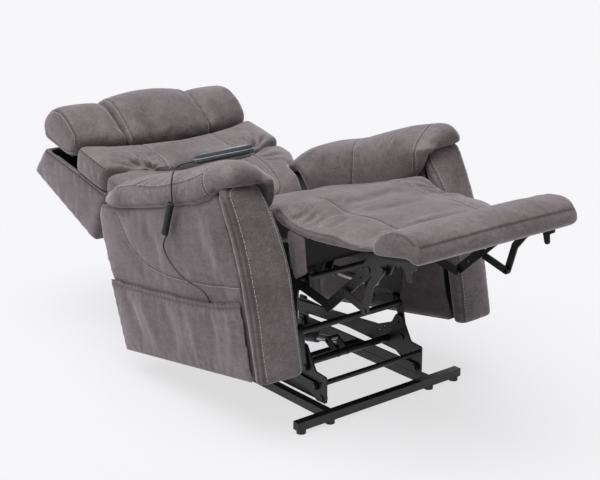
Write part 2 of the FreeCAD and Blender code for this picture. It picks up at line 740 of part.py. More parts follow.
def handset_parts():
    frame = handset_frame()
    add("handset_shell", handset_shell(), frame)
    add("handset_trim", pill(handset_length() + 1, HANDSET_WIDTH + 1, 0, 2, 18.5), frame)
    add("handset_face", handset_face(), frame)
    names = ("head_up", "head_down", "back_up", "back_down", "lift_up", "lift_down")
    for name, (x, y) in zip(names, button_places()):
        button = handset_button()
        button.translate(Vector(x, y, 0))
        add("button_" + name, button, frame)
    add("handset_strain_relief", strain_relief(), frame)
    start = frame.multVec(Vector(handset_length() / 2 + 16.6, 0, -4))
    upper = [start] + [BODY.multVec(Vector(*place)) for place in CORD_TOP]
    top = BODY.multVec(COIL_TOP)
    end = BODY.multVec(COIL_END)
    add("cord_upper", cord_tube(upper + [top], "cord_upper"))
    coil = Part.makeCylinder(COIL_D / 2, (end - top).Length, top, end - top)
    add("cord_coil", coil)
    lower = [end] + [BODY.multVec(Vector(*place)) for place in CORD_LOW] + [BODY.multVec(CORD_END)]
    add("cord_lower", cord_tube(lower, "cord_lower"))


# ---- assembly ------------------------------------------------------------------------------
def floor_parts():
    add("base_frame", base_frame())
    add("base_glides_and_caps", group(glides(), end_caps()))
    motor_pin = rivet(LIFT_ACTUATOR_FOOT, -25, 25, PIN_R)
    add("rear_pivot_pins", group(pivot_pins(LOWER_REAR, 168, 182),
                                 pivot_pins(UPPER_REAR, 192, 206, False), motor_pin))


def lift_parts():
    inner = LAYER["lower_arm"]
    add("lower_lift_arms", group(both_sides(lower_arm()), rod((330, 58), 10, -inner, inner)))
    add("upper_lift_arms", both_sides(upper_arm()))
    add("lift_frame_sides", both_sides(lift_side()))
    inner = LAYER["lift_side"]
    add("lift_frame_cross_tubes", group(rod((46.5, 109), 8, -inner, inner), lift_eye()))
    add("front_pivot_pins", group(
        pivot_pins(LOWER_FRONT, 176, 190), pivot_pins(UPPER_FRONT, 184, 198),
        pivot_pins(TILT_LINK_FOOT, 184, 198), pivot_pins(CARRIAGE_PIVOT, 184, 206)))
    inner = LAYER["upper_arm"]
    add("tilt_links", group(both_sides(tilt_link()), rod(TILT_LINK_BEND, 10, -inner, inner),
                            pivot_pins(TILT_LINK_TIP, 192, 206)))
    add("lift_actuator_body", actuator_housing(LIFT_ACTUATOR_FOOT, LIFT_ACTUATOR_EYE, 0, 19, 300, -1))
    add("lift_actuator_rod", actuator_rod(LIFT_ACTUATOR_FOOT, LIFT_ACTUATOR_EYE, 0, 14, 120))


def carriage_parts():
    add("carriage_sides", both_sides(carriage_side()), BODY)
    arm_plates = both_sides(block(250, 305, 180, 546, 300, 304))
    add("carriage_cross_members",
        group(carriage_front_tube(), carriage_rear_tube(), recline_pins(), arm_plates), BODY)
    add("recline_actuator_body",
        actuator_housing(BACK_ACTUATOR_FOOT, BACK_LEVER, -60, 14, 290, -1), BODY)
    add("recline_actuator_rod", actuator_rod(BACK_ACTUATOR_FOOT, BACK_LEVER, -60, 14, 130), BODY)
    add("footrest_actuator_body",
        actuator_housing(LEG_ACTUATOR_FOOT, LEG_CRANK, 60, 14, 330, 1), BODY)
    add("footrest_actuator_rod", actuator_rod(LEG_ACTUATOR_FOOT, LEG_CRANK, 60, 14, 190), BODY)
    add("control_box", block(112, 199, 400, 540, 208, 250), BODY)
    add("power_inlet", Part.makeCylinder(7, 10, Vector(150, 540, 228), Vector(0, 1, 0)), BODY)


def seat_parts():
    front = block(-250, 250, 95, 117, 287, 350)
    rear = block(-250, 250, 548, 562, 287, 350)
    side = block(228, 250, 117, 548, 287, 350)
    add("seat_frame_rails", group(front, rear, both_sides(side)), BODY)
    add("seat_springs", seat_springs(), BODY)
    add("seat_cushion", seat_cushion(), BODY)


def footrest_parts():
    low = LAYER["leg_rear"]
    knee = rivet(LEG_KNEE, low, LAYER["leg_front"] + STRAP)
    add("footrest_rear_links",
        group(leg_torque_tube(), both_sides(leg_rear_link()), both_sides(knee)), BODY)
    root = rivet(BRACE_ROOT, LAYER["leg_front"], LAYER["brace_short"] + STRAP, head=1.4,
                 inner_head=False)
    add("footrest_front_links", group(both_sides(leg_front_link()), both_sides(root)), BODY)
    add("footrest_short_braces", both_sides(brace_short()), BODY)
    elbow = rivet(BRACE_ELBOW, LAYER["brace_long"], LAYER["brace_long"] + STRAP, inner_head=False)
    add("footrest_long_braces", both_sides(group(brace_long(), elbow)), BODY)
    head = rivet(LEG_HEAD, LAYER["leg_front"], LAYER["leg_bracket"] + STRAP)
    brace = rivet(BRACE_HEAD, LAYER["leg_bracket"], LAYER["brace_long"] + STRAP, inner_head=False)
    add("footrest_brackets", both_sides(group(leg_bracket(), head, brace)), BODY)
    add("footrest_board", block(-262, 262, -450, -255, 345, 357), BODY)
    add("footrest_bolster", bolster(), BODY)
    add("legrest_pad", legrest_pad(), BODY)


def arm_parts():
    facing = arm_facing()
    pad = arm_pad()
    add("arm_facings", both_sides(facing), BODY)
    add("arm_pad_left", pad, BODY)
    add("arm_pad_right", mirrored(pad), BODY)
    add("arm_outer_panel_left", arm_outer_panel(HALF_WIDTH), BODY)
    add("arm_outer_panel_right", mirrored(arm_outer_panel(437)), BODY)
    add("arm_inner_panels", both_sides(group(arm_inner_panel(), arm_inner_pad())), BODY)
    add("arm_frames", both_sides(arm_frame()), BODY)
    add("side_pocket", side_pocket(), BODY)


def back_parts():
    add("back_hinge_levers", group(both_sides(back_side_plate()), back_torque_tube()), BACK)
    add("back_frame", group(both_sides(back_stile()), back_cross_rails(), shell_brackets(),
                            both_sides(headrest_ear())), BACK)
    add("back_shell", back_shell(), BACK)
    add("back_lining", back_lining(), BACK)
    add("lumbar_cushion", lumbar_cushion(), BACK)
    add("shoulder_cushion", shoulder_cushion(), BACK)
    pin = rod(HEAD_PIVOT, PIN_R, 231.2, 245.3).fuse(rod(HEAD_PIVOT, 9, 245.3, 247.8))
    pins = both_sides(pin.removeSplitter())
    add("headrest_frame", group(both_sides(headrest_arm()), headrest_board(), pins), BACK)
    add("headrest_side_pads", both_sides(headrest_side_pad()), BACK)
    add("headrest_pillow", headrest_pillow(), BACK)


def export():
    """Move the origin under the middle of the chair, cord left out, and write every piece."""
    box = FreeCAD.BoundBox()
    for name, shape in parts.items():
        if not name.startswith("cord_"):
            box.add(shape.optimalBoundingBox(False))
    shift = Vector(-(box.XMin + box.XMax) / 2, -(box.YMin + box.YMax) / 2, -box.ZMin)
    print("shift", shift, "box", box.XLength, box.YLength, box.ZLength)
    os.makedirs("parts", exist_ok=True)
    for name, shape in parts.items():
        shape.translate(shift)
        shape.exportStep("parts/" + name + ".step")
    return shift


floor_parts()
lift_parts()
carriage_parts()
seat_parts()
footrest_parts()
arm_parts()
back_parts()
handset_parts()
shift = export()
print(len(parts), "pieces")
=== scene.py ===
"""The lift recliner's looks: upholstery, stitching, cord, finishes, light and camera."""

import json
import math
from copy import copy

import bmesh
import bpy
import numpy as np
from mathutils import Matrix, Vector
from mathutils.bvhtree import BVHTree
from mathutils.kdtree import KDTree


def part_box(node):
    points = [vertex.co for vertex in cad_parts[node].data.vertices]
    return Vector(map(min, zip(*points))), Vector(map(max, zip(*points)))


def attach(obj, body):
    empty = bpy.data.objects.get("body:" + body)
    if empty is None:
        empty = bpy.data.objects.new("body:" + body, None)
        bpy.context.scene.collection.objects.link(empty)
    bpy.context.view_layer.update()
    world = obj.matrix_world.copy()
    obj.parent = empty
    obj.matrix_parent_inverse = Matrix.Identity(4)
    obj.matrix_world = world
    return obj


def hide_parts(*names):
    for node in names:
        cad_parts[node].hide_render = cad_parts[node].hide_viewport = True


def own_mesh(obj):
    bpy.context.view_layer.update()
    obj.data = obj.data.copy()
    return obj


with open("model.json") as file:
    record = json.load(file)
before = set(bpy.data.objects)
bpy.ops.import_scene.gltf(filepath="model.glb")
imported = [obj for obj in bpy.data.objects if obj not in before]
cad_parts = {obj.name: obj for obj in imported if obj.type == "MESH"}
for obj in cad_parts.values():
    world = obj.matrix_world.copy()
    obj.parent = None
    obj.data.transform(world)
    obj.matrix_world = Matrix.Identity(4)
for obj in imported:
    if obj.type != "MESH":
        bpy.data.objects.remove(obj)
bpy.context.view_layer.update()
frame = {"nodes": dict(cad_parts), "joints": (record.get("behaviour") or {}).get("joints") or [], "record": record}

# ---- frames the upholstery is drawn in; all tables below are in millimetres ----
MM = 0.001
JOINTS = {joint["name"]: joint for joint in frame["joints"]}
TILT = math.radians(9.39)  # how far the seat plane leans back
BACK_ANGLE = math.radians(22)  # how far the back stands above the seat plane
RECLINE = Vector(JOINTS["backrest"]["pos_m"])
LEAN = Matrix.Rotation(-TILT, 4, "X")
BODY = Matrix.Translation(RECLINE) @ LEAN @ Matrix.Translation((0, -0.6, -0.3))
BACK = Matrix.Translation(RECLINE) @ LEAN @ Matrix.Rotation(BACK_ANGLE, 4, "X")

VOXEL = 0.008  # spacing of a cushion's mesh before its subdivision
SEAM_STEP = 3.0
STITCH_PITCH = 8.6
STITCH_LONG = 6.4
STITCH_THICK = 1.5
FOLD_GAIN = 1.5  # how much deeper folds are pressed than they are listed
LOOSE_GAIN = 2.0  # the same again for the loose covers of the legrest and back


# ---- curves and outlines ----
def curve_at(p0, p1, p2, p3, t):
    """Point at t from p1 to p2 on a smooth curve through four points."""
    a = 2 * p1 + (p2 - p0) * t
    b = (2 * p0 - 5 * p1 + 4 * p2 - p3) * t**2
    c = (3 * p1 - p0 - 3 * p2 + p3) * t**3
    return (a + b + c) / 2


def smooth_path(points, step=SEAM_STEP):
    """Points about every step along a smooth curve through the given ones."""
    given = [Vector(p) for p in points]
    given = [given[0] * 2 - given[1]] + given + [given[-1] * 2 - given[-2]]
    path = []
    for p0, p1, p2, p3 in zip(given, given[1:], given[2:], given[3:]):
        count = max(1, round((p2 - p1).length / step))
        path += [curve_at(p0, p1, p2, p3, k / count) for k in range(count)]
    return path + [given[-2]]


def rounded(points, reach):
    """Closed 2-D outline whose corners are curves that start at most reach before them."""
    corners = [Vector(p) for p in points]
    outline = []
    for i, corner in enumerate(corners):
        before = corners[i - 1] - corner
        after = corners[(i + 1) % len(corners)] - corner
        start = corner + before.normalized() * min(reach, 0.45 * before.length)
        stop = corner + after.normalized() * min(reach, 0.45 * after.length)
        for t in (0.0, 0.25, 0.5, 0.75, 1.0):
            outline.append(start * (1 - t) ** 2 + corner * 2 * t * (1 - t) + stop * t**2)
    return outline


def flat(x, *spots):
    """Path given by (y, z) on a plane across the chair."""
    return [(x, y, z) for y, z in spots]


def between(table, at):
    """Straight-line reading of a table of (place, value)."""
    return float(np.interp(at, [row[0] for row in table], [row[1] for row in table]))


# ---- meshes ----
def add_object(name, data):
    obj = bpy.data.objects.new(name, data)
    bpy.context.scene.collection.objects.link(obj)
    return obj


def mesh_object(name, verts, faces):
    mesh = bpy.data.meshes.new(name)
    mesh.from_pydata([tuple(v) for v in verts], [], faces)
    return add_object(name, mesh)


def flip(obj):
    """Make a piece its own mirror image across the chair's middle."""
    obj.data.transform(Matrix.Diagonal((-1, 1, 1, 1)))
    obj.data.flip_normals()


def loft(name, order, stations, reach=14, finer=4):
    """Closed skin through outlines at several places; order names the outline's axes, then its own."""
    axes = ["xyz".index(letter) for letter in order]
    rings = [rounded(outline, reach) for place, outline in stations]
    places = [place for place, outline in stations]
    if finer > 1 and len(stations) > 2:
        columns = [smooth_columns([ring[i] for ring in rings], places, finer) for i in range(len(rings[0]))]
        rings = [[column[k][0] for column in columns] for k in range(len(columns[0]))]
        places = [row[1] for row in columns[0]]
    verts = []
    for place, ring in zip(places, rings):
        for point in ring:
            spot = [0.0, 0.0, 0.0]
            spot[axes[0]], spot[axes[1]], spot[axes[2]] = point.x * MM, point.y * MM, place * MM
            verts.append(spot)
    size = len(rings[0])
    faces = [tuple(range(size)), tuple(range(len(verts) - size, len(verts)))]
    for row in range(len(rings) - 1):
        for i in range(size):
            j = (i + 1) % size
            low, high = row * size, (row + 1) * size
            faces.append((low + i, low + j, high + j, high + i))
    obj = mesh_object(name, verts, faces)
    repair = bmesh.new()
    repair.from_mesh(obj.data)
    bmesh.ops.triangulate(repair, faces=[f for f in repair.faces if len(f.verts) > 4])
    bmesh.ops.recalc_face_normals(repair, faces=repair.faces)
    repair.to_mesh(obj.data)
    repair.free()
    return obj


def smooth_columns(points, places, finer):
    """One outline point followed smoothly through all stations."""
    lifted = [Vector((p.x, p.y, place)) for p, place in zip(points, places)]
    track = []
    padded = [lifted[0]] + lifted + [lifted[-1]]
    for p0, p1, p2, p3 in zip(padded, padded[1:], padded[2:], padded[3:]):
        for k in range(finer):
            spot = curve_at(p0, p1, p2, p3, k / finer)
            track.append((spot.xy, p1.z + (p2.z - p1.z) * (k / finer)))
    track.append((points[-1], places[-1]))
    return track


def merge(obj, other):
    """Add another closed skin to this one; the remesh makes them one."""
    joined = bmesh.new()
    joined.from_mesh(obj.data)
    joined.from_mesh(other.data)
    joined.to_mesh(obj.data)
    joined.free()
    bpy.data.objects.remove(other)
    return obj


def mirrored_copy(obj, name):
    """The same piece on the other side of the chair."""
    twin = add_object(name, obj.data.copy())
    twin.data.name = name
    flip(twin)
    return twin


def apply_modifiers(obj):
    graph = bpy.context.evaluated_depsgraph_get()
    done = bpy.data.meshes.new_from_object(obj.evaluated_get(graph))
    obj.modifiers.clear()
    obj.data = done
    return obj


def remesh(obj, voxel, rounds):
    """Even mesh with its edges softened."""
    change = obj.modifiers.new("remesh", "REMESH")
    change.mode = "VOXEL"
    change.voxel_size = voxel
    apply_modifiers(obj)
    work = bmesh.new()
    work.from_mesh(obj.data)
    for _ in range(rounds):
        bmesh.ops.smooth_vert(work, verts=work.verts, factor=0.5, use_axis_x=True, use_axis_y=True,
            use_axis_z=True)
    work.to_mesh(obj.data)
    work.free()


def surface(obj):
    work = bmesh.new()
    work.from_mesh(obj.data)
    tree = BVHTree.FromBMesh(work)
    work.free()
    return tree


def on_surface(tree, path):
    """Each point of a path in millimetres moved to the nearest place on a skin."""
    return [tree.find_nearest(p * MM)[0] for p in path]


def near_weights(obj, spots, width):
    """For each vertex within three widths of a row of spots: index, distance and place in the row."""
    tree = KDTree(len(spots))
    for i, spot in enumerate(spots):
        tree.insert(spot, i)
    tree.balance()
    rows = []
    for vertex in obj.data.vertices:
        spot, place, distance = tree.find(vertex.co)
        if distance < 3 * width:
            rows.append((vertex.index, distance, place))
    return rows


PUCKER_REACH = 14 * MM  # how far a seam's small ripples spread


def press(obj, spots, depth, width, taper=False, pucker=0.0):
    """Push the skin in along a row of spots, or out where depth is negative."""
    normals = [v.normal.copy() for v in obj.data.vertices]
    count = max(1, len(spots) - 1)
    for index, distance, place in near_weights(obj, spots, max(width, PUCKER_REACH if pucker else 0)):
        amount = depth * math.exp(-((distance / width) ** 2))
        if taper:
            amount *= max(0.0, math.sin(math.pi * place / count)) ** 0.8
        if pucker:
            ripple = math.sin(place * 0.9) + 0.6 * math.sin(place * 0.37 + 1.3)
            fade = math.exp(-((distance / PUCKER_REACH) ** 2))
            amount += pucker * ripple * fade * min(1, distance / (5 * MM))
        obj.data.vertices[index].co -= normals[index] * amount
    obj.data.update()


# ---- upholstered pieces ----
def seam(points, depth=2.6, width=3.4, stitch=(5.5,), pucker=0.35):
    """A sewn line: how far it is drawn in, and how far beside it rows of stitches run."""
    return dict(points=points, depth=depth, width=width, stitch=stitch, pucker=pucker)


def sided(side, folds):
    """Folds listed for the chair's left side, drawn on the given side."""
    return [([(side * x, y, z) for x, y, z in points], depth, width) for points, depth, width in folds]


class Soft:
    """One upholstered piece on its way from a plain closed form to its finished skin."""

    def __init__(self, obj, place, body, nodes, voxel=VOXEL, rounds=6, pressure=4.0, cap=10.0, seams=(),
            folds=(), tucks=(), hold=None, fill=0.6, gain=1, squash=None):
        self.obj = obj
        self.place = place
        self.body = body
        self.nodes = nodes
        self.pressure = pressure
        self.cap = cap * MM
        self.seams = seams
        self.folds = folds
        self.tucks = tucks
        self.hold = hold
        self.fill = fill
        self.gain = gain
        self.squash = squash
        remesh(obj, voxel, rounds)
        for line in self.seams:
            line["path"] = smooth_path(line["points"])
        self.pin()

    def pin(self):
        """Hold the seams and whatever lies against the frame; the rest is free to swell."""
        group = self.obj.vertex_groups.new(name="held")
        tree = surface(self.obj)
        held = set()
        for line in self.seams:
            spots = on_surface(tree, line["path"])
            held.update(row[0] for row in near_weights(self.obj, spots, 2.2 * MM))
        if self.hold:
            held.update(v.index for v in self.obj.data.vertices if self.hold(v.co / MM))
        group.add(sorted(held), 1.0, "REPLACE")

    def start_cloth(self):
        self.before = np.array([v.co for v in self.obj.data.vertices])
        cloth = self.obj.modifiers.new("cloth", "CLOTH").settings
        cloth.quality = 4
        cloth.use_pressure = True
        cloth.uniform_pressure_force = self.pressure
        cloth.effector_weights.gravity = 0
        cloth.vertex_group_mass = "held"
        cloth.shrink_min = -0.003
        cloth.tension_stiffness = cloth.compression_stiffness = 12
        cloth.bending_stiffness = 2.5

    def end_cloth(self):
        """Keep the swollen shape, no point further out than the cap."""
        graph = bpy.context.evaluated_depsgraph_get()
        swollen = self.obj.evaluated_get(graph).data
        after = np.array([v.co for v in swollen.vertices])
        self.obj.modifiers.clear()
        move = after - self.before
        length = np.linalg.norm(move, axis=1)
        limit = self.cap * np.tanh(length / self.cap)
        scale = np.where(length > 1e-9, limit / np.maximum(length, 1e-9), 0)
        final = self.before + move * scale[:, None]
        self.obj.data.vertices.foreach_set("co", final.ravel())
        self.obj.data.update()

    def dress(self):
        """Subdivide, then sew in seams, folds and tucks."""
        self.obj.modifiers.new("finer", "SUBSURF").render_levels = 1
        self.obj.modifiers["finer"].levels = 1
        apply_modifiers(self.obj)
        self.obj.vertex_groups.clear()
        tree = surface(self.obj)
        for points, depth, width in self.folds:
            spots = on_surface(tree, smooth_path(points, 6))
            press(self.obj, spots, depth * self.gain * FOLD_GAIN * MM, width * MM, taper=True)
        for centre, depth, radius, rays in self.tucks:
            self.tuck(centre, depth, radius, rays)
        tree = surface(self.obj)
        for line in self.seams:
            spots = on_surface(tree, line["path"])
            line["spots"] = spots
            press(self.obj, spots, line["depth"] * MM, line["width"] * MM, pucker=line["pucker"] * MM)
        # painted shade: the seams are marked so that the fabric is darkened along them
        shade(self.obj, [spot for line in self.seams for spot in line["spots"]])
        self.stitch()

    def tuck(self, centre, depth, radius, rays):
        """A pulled-in point with wrinkles running out from it."""
        spot, normal = surface(self.obj).find_nearest(Vector(centre) * MM)[:2]
        side = normal.orthogonal().normalized()
        over = normal.cross(side)
        for vertex in self.obj.data.vertices:
            reach = vertex.co - spot
            distance = reach.length / MM
            if distance < 3 * radius:
                angle = math.atan2(reach.dot(over), reach.dot(side))
                dip = depth * math.exp(-((distance / (0.45 * radius)) ** 2))
                wave = math.sin(rays * angle + 0.8 * math.sin(2 * angle)) * 0.42 * depth
                wave *= math.exp(-((distance / radius) ** 2)) * min(1, distance / (0.35 * radius))
                vertex.co -= normal * (dip + wave) * MM
        self.obj.data.update()

    def stitch(self):
        """Raised thread stitches beside each seam, as one mesh that goes with the piece."""
        tree = surface(self.obj)
        rows = []
        for line in self.seams:
            for offset in line["stitch"]:
                rows += stitch_row(tree, line["spots"], offset)
        self.thread = None
        if rows:
            self.thread = stitches(self.obj.name + "_stitching", rows)

    def settle(self):
        """Move from the drawing frame to the row's frame and join the body."""
        for obj in self.skins():
            obj.data.transform(self.place)
            smooth_shading(obj)
            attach(obj, self.body)
            if self.squash:
                joint, axis, anchor, keep = self.squash
                axis, anchor = self.place.to_3x3() @ Vector(axis), self.place @ (Vector(anchor) * MM)
                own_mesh(obj)
        if self.nodes:
            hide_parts(*self.nodes)

    def skins(self):
        return [obj for obj in (self.obj, self.thread) if obj]


def smooth_shading(obj):
    obj.data.polygons.foreach_set("use_smooth", [True] * len(obj.data.polygons))
    obj.data.update()


def shade(obj, spots):
    """Store how close each vertex is to a seam, for the fabric's painted shade in its seam grooves."""
    values = np.zeros(len(obj.data.vertices), np.float32)
    if spots:
        for index, distance, place in near_weights(obj, spots, 7 * MM):
            values[index] = math.exp(-((distance / (4.5 * MM)) ** 2))
    attribute = obj.data.attributes.new("seam", "FLOAT", "POINT")
    attribute.data.foreach_set("value", values)


def stitch_row(tree, spots, offset):
    """Centre, direction and normal of each stitch at a sideways offset from a seam."""
    rows = []
    travelled = 0.0
    due = STITCH_PITCH * MM / 2
    for here, there in zip(spots, spots[1:]):
        step = there - here
        travelled += step.length
        if travelled < due or step.length < 1e-6:
            continue
        due += STITCH_PITCH * MM
        spot, normal = tree.find_nearest(here)[:2]
        along = step.normalized()
        side = normal.cross(along).normalized()
        spot, normal = tree.find_nearest(here + side * offset * MM)[:2]
        rows.append((spot, (along - normal * along.dot(normal)).normalized(), normal))
    return rows


def stitches(name, rows):
    """Short rounded threads lying on the cloth."""
    stations = ((-0.5, 0.3, -0.5), (-0.36, 0.85, 0.15), (0.0, 1.0, 0.35), (0.36, 0.85, 0.15),
        (0.5, 0.3, -0.5))
    verts = []
    faces = []
    for spot, along, normal in rows:
        side = normal.cross(along)
        base = len(verts)
        for place, size, rise in stations:
            middle = spot + along * place * STITCH_LONG * MM + normal * rise * STITCH_THICK / 2 * MM
            for k in range(6):
                angle = math.pi * k / 3
                ring = side * math.cos(angle) + normal * math.sin(angle)
                verts.append(middle + ring * size * STITCH_THICK / 2 * MM)
        for row in range(len(stations) - 1):
            for k in range(6):
                a, b = base + row * 6 + k, base + row * 6 + (k + 1) % 6
                faces.append((a, b, b + 6, a + 6))
        faces.append(tuple(base + k for k in reversed(range(6))))
        faces.append(tuple(base + 6 * (len(stations) - 1) + k for k in range(6)))
    return mesh_object(name, verts, faces)


# ---- the arms ----
FACING_INNER = ((4, -2), (143, 0), (280, 5), (384, 25), (460, 64), (512, 96), (546, 106))
FACING_OUTER = ((-4, 8), (84, 12), (213, 16), (354, 34), (454, 60), (522, 84), (546, 94))
FACING_REAR = ((-8, 46), (129, 53), (293, 67), (410, 92), (466, 112), (531, 128), (546, 130))


def facing_section(z):
    """Plan outline of the front slab at one height, narrowing into its rounded top."""
    drop = max(0, z - 514) / 33
    narrow = 27 * (1 - math.sqrt(max(0, 1 - drop**2)))
    inner, outer = 305 + 0.7 * narrow, 449 - 0.8 * narrow
    near, far, rear = between(FACING_INNER, z), between(FACING_OUTER, z), between(FACING_REAR, z) - 1
    deep = min(16, 0.3 * (rear - far))
    return [(inner, rear), (inner, near + deep), (inner + 14, near),
        ((inner + outer) / 2, (near + far) / 2 - 4), (outer - 16, far - 4), (outer, far + deep),
        (outer, rear)]


def facing():
    heights = (2, 40, 120, 200, 280, 350, 410, 450, 484, 512, 528, 540, 546)
    obj = loft("arm_facing_left", "xyz", [(z, facing_section(z)) for z in heights], 10)
    inner = [(306 + 9, between(FACING_INNER, z) + 3, z) for z in (6, 143, 280, 384, 460, 505)]
    outer = [(449 - 10, between(FACING_OUTER, z), z) for z in (514, 442, 363, 213, 84, 4)]
    over = [(328, 98, 534), (374, 98, 543), (424, 94, 536)]
    edge = [(449, between(FACING_OUTER, z) + 14, z) for z in (4, 84, 213, 363, 442, 500)]
    return Soft(obj, BODY, "chair_body", ["arm_facings"], cap=5, pressure=2.5, rounds=4,
        hold=lambda p: p.y > between(FACING_REAR, p.z) - 9 or p.z < 8,
        seams=[seam(inner + over + outer, stitch=(-7,)), seam(edge, stitch=(), depth=1.2)], fill=0.8)


PAD_CREST = ((70, 578), (75, 590), (84, 600), (100, 608), (120, 612), (150, 610), (195, 604), (296, 586),
    (421, 565), (575, 553), (685, 534), (740, 515), (774, 497), (795, 484), (806, 474))
PAD_RING = ((70, 564), (104, 583), (150, 584), (195, 572), (296, 549), (461, 528), (574, 530), (684, 517),
    (760, 492), (806, 468))
PAD_BASE = ((70, 546), (84, 541), (98, 539), (124, 536), (138, 528), (165, 512), (230, 496), (362, 482),
    (530, 468), (710, 459), (806, 460))
PAD_INNER_BASE = ((70, 546), (76, 530), (86, 504), (104, 476), (150, 440), (190, 392), (640, 380),
    (664, 458), (806, 464))


def pad_section(y):
    """Cross-section of the arm's pillow top at one place along it."""
    crest, ring = between(PAD_CREST, y), between(PAD_RING, y)
    base, low = between(PAD_BASE, y), between(PAD_INNER_BASE, y)
    out = between(((70, 428), (77, 441), (90, 449), (110, 455), (700, 455), (760, 440), (790, 412),
        (806, 386)), y)
    inn = between(((70, 300), (77, 286), (90, 272), (120, 262), (180, 257), (740, 258), (790, 286),
        (806, 306)), y)
    under = min(base, ring - 6)
    floor = 449 if y > 146 else max(533, base)
    width = out - inn
    slump = between(((70, 36), (130, 20), (200, 0)), y)
    return [(out - 3, under), (out, (under + ring) / 2), (out - 6, ring), (out - 0.2 * width, crest - 4),
        (inn + 0.56 * width, crest - 0.2 * slump), (inn + 0.32 * width, crest - 6 - 0.6 * slump),
        (inn + 0.1 * width, crest - 30 - slump), (inn, (crest + low) / 2), (inn + 1, low),
        (min(303, inn + 44), low), (min(308, inn + 50), min(floor, under)), (out - 28, min(floor, under)),
        (out - 26, under)]


def arm_pad():
    places = (71, 75, 84, 98, 112, 128, 146, 170, 196, 240, 296, 360, 421, 500, 575, 630, 685, 725, 760,
        785, 800, 806)
    obj = loft("arm_pillow_left", "xzy", [(y, pad_section(y)) for y in places], 14)
    ring = [(449, 160, 516), (450, 178, 552), (442, 184, 578), (420, 162, 599), (392, 142, 608),
        (352, 124, 604), (312, 114, 592), (276, 108, 568), (258, 106, 540), (258, 106, 510),
        (262, 110, 480)]
    upper = [(440, 186, 575), (443, 240, 560), (443, 296, 549), (443, 380, 536), (443, 461, 528),
        (443, 574, 531), (438, 684, 517), (420, 740, 503), (390, 785, 484)]
    # under: the pillow's lower outer seam; the seam mark darkens it into a line of painted shade where pillow
    # meets panel
    under = [(450, y, between(PAD_BASE, y) + 4) for y in (128, 146, 165, 196, 230, 300, 362, 450, 530, 620,
        710, 780)]
    cross = [(443, 560, 531), (412, 500, 556), (368, 468, 566), (320, 436, 562), (280, 410, 540),
        (258, 397, 500), (258, 398, 450), (260, 410, 396)]
    folds = [([(440, 230, 520), (446, 330, 500), (446, 420, 488)], 1.6, 14),
        ([(448, 500, 485), (448, 590, 500), (446, 680, 488)], -1.2, 12), ([(262, 240, 430), (258, 250, 500),
        (268, 262, 548)], 1.2, 16), ([(259, 500, 420), (257, 520, 480), (266, 540, 520)], 1.4, 18)]
    return Soft(obj, BODY, "chair_body", ["arm_pad_left", "arm_pad_right"], cap=9, pressure=4.0, rounds=5,
        hold=lambda p: p.z < 470 and 270 < p.x < 440, seams=[seam(ring, stitch=(6.5, -6.5), depth=3.4),
        seam(upper, stitch=(5.5,), depth=1.8), seam(under, stitch=(), depth=1.5, width=5, pucker=0.0),
        seam(cross, stitch=(5.5,), depth=2.2)], folds=folds, fill=0.7)


SIDE_REAR = ((1, 735), (338, 803), (430, 806), (452, 795))


POCKET_RECESS = 0.004  # metres the near panel stands back behind the pocket


def outer_panel(name, face, thickness):
    """Side panel with the strip that closes the arm's back."""
    outline = [(51, 2), (735, 2), (803, 338), (806, 430), (794, 466), (710, 466), (530, 475), (362, 489),
        (230, 503), (165, 519), (131, 531), (104, 442), (73, 293), (57, 129)]
    obj = loft(name, "yzx", [(face - thickness, outline), (face, outline)], 10, 1)
    strip = [(719, 2), (735, 2), (803, 338), (806, 430), (794, 452), (782, 452), (790, 425), (787, 338)]
    return merge(obj, loft("strip", "yzx", [(306, strip), (face - 4, strip)], 6, 1))


def panel_seams(face):
    arc = flat(face, (704, 440), (689, 428), (640, 350), (572, 300), (492, 278), (412, 266), (240, 262),
        (80, 270))
    rear = flat(face, (728, 12), (796, 338), (799, 425))
    # under_pad: a groove without stitches along the pillow's lower edge; the seam mark darkens it into a line of
    # painted shade between pillow and panel
    under_pad = [(face, y, between(PAD_BASE, y) - 2) for y in (134, 150, 165, 196, 230, 300, 362, 450, 530,
        620, 710, 790)]
    return [seam(arc, stitch=(4,), depth=1.0, width=3, pucker=0.2), seam(under_pad, stitch=(), depth=5.0,
        width=6, pucker=0.2), seam(rear, stitch=(), depth=1.4, width=4, pucker=0.2)]


def panel_edge(p):
    rear = between(SIDE_REAR, p.z)
    front = between(FACING_REAR, p.z)
    return p.y > rear - 12 or p.y < front + 16 or p.z < 12 or p.z > 452 or p.x < 420


def arm_outer_left():
    obj = outer_panel("arm_side_left", 446, 20)
    waves = [(flat(447, (240, 60), (300, 200), (330, 330)), 2.2, 40),
        (flat(447, (420, 40), (470, 180), (520, 300)), -2.0, 36), (flat(447, (600, 60), (640, 200),
        (690, 330)), 2.0, 36)]
    return Soft(obj, BODY, "chair_body", ["arm_outer_panel_left"], voxel=0.011, cap=7, pressure=2, rounds=2,
        hold=panel_edge, seams=panel_seams(447), folds=waves, fill=0.3)


def arm_outer_right():
    """The near panel, drawn on the left and mirrored; it stands back where the pocket is sewn on."""
    obj = outer_panel("arm_side_right", 441, 16)
    for vertex in obj.data.vertices:
        if vertex.co.z < 0.215 and vertex.co.x > 0.43:
            vertex.co.x -= POCKET_RECESS
    waves = [(flat(444, (200, 300), (240, 400), (260, 480)), 2.6, 26), (flat(444, (330, 290), (372, 380),
        (380, 450)), -2.4, 26), (flat(444, (470, 290), (500, 370), (540, 440)), 2.2, 30),
        (flat(444, (150, 280), (165, 370), (180, 470)), -1.8, 20)]
    return Soft(obj, BODY, "chair_body", ["arm_outer_panel_right"], voxel=0.011, cap=8, pressure=2,
        rounds=2, hold=lambda p: panel_edge(p) or p.z < 226, seams=panel_seams(442), folds=waves, fill=0.3)


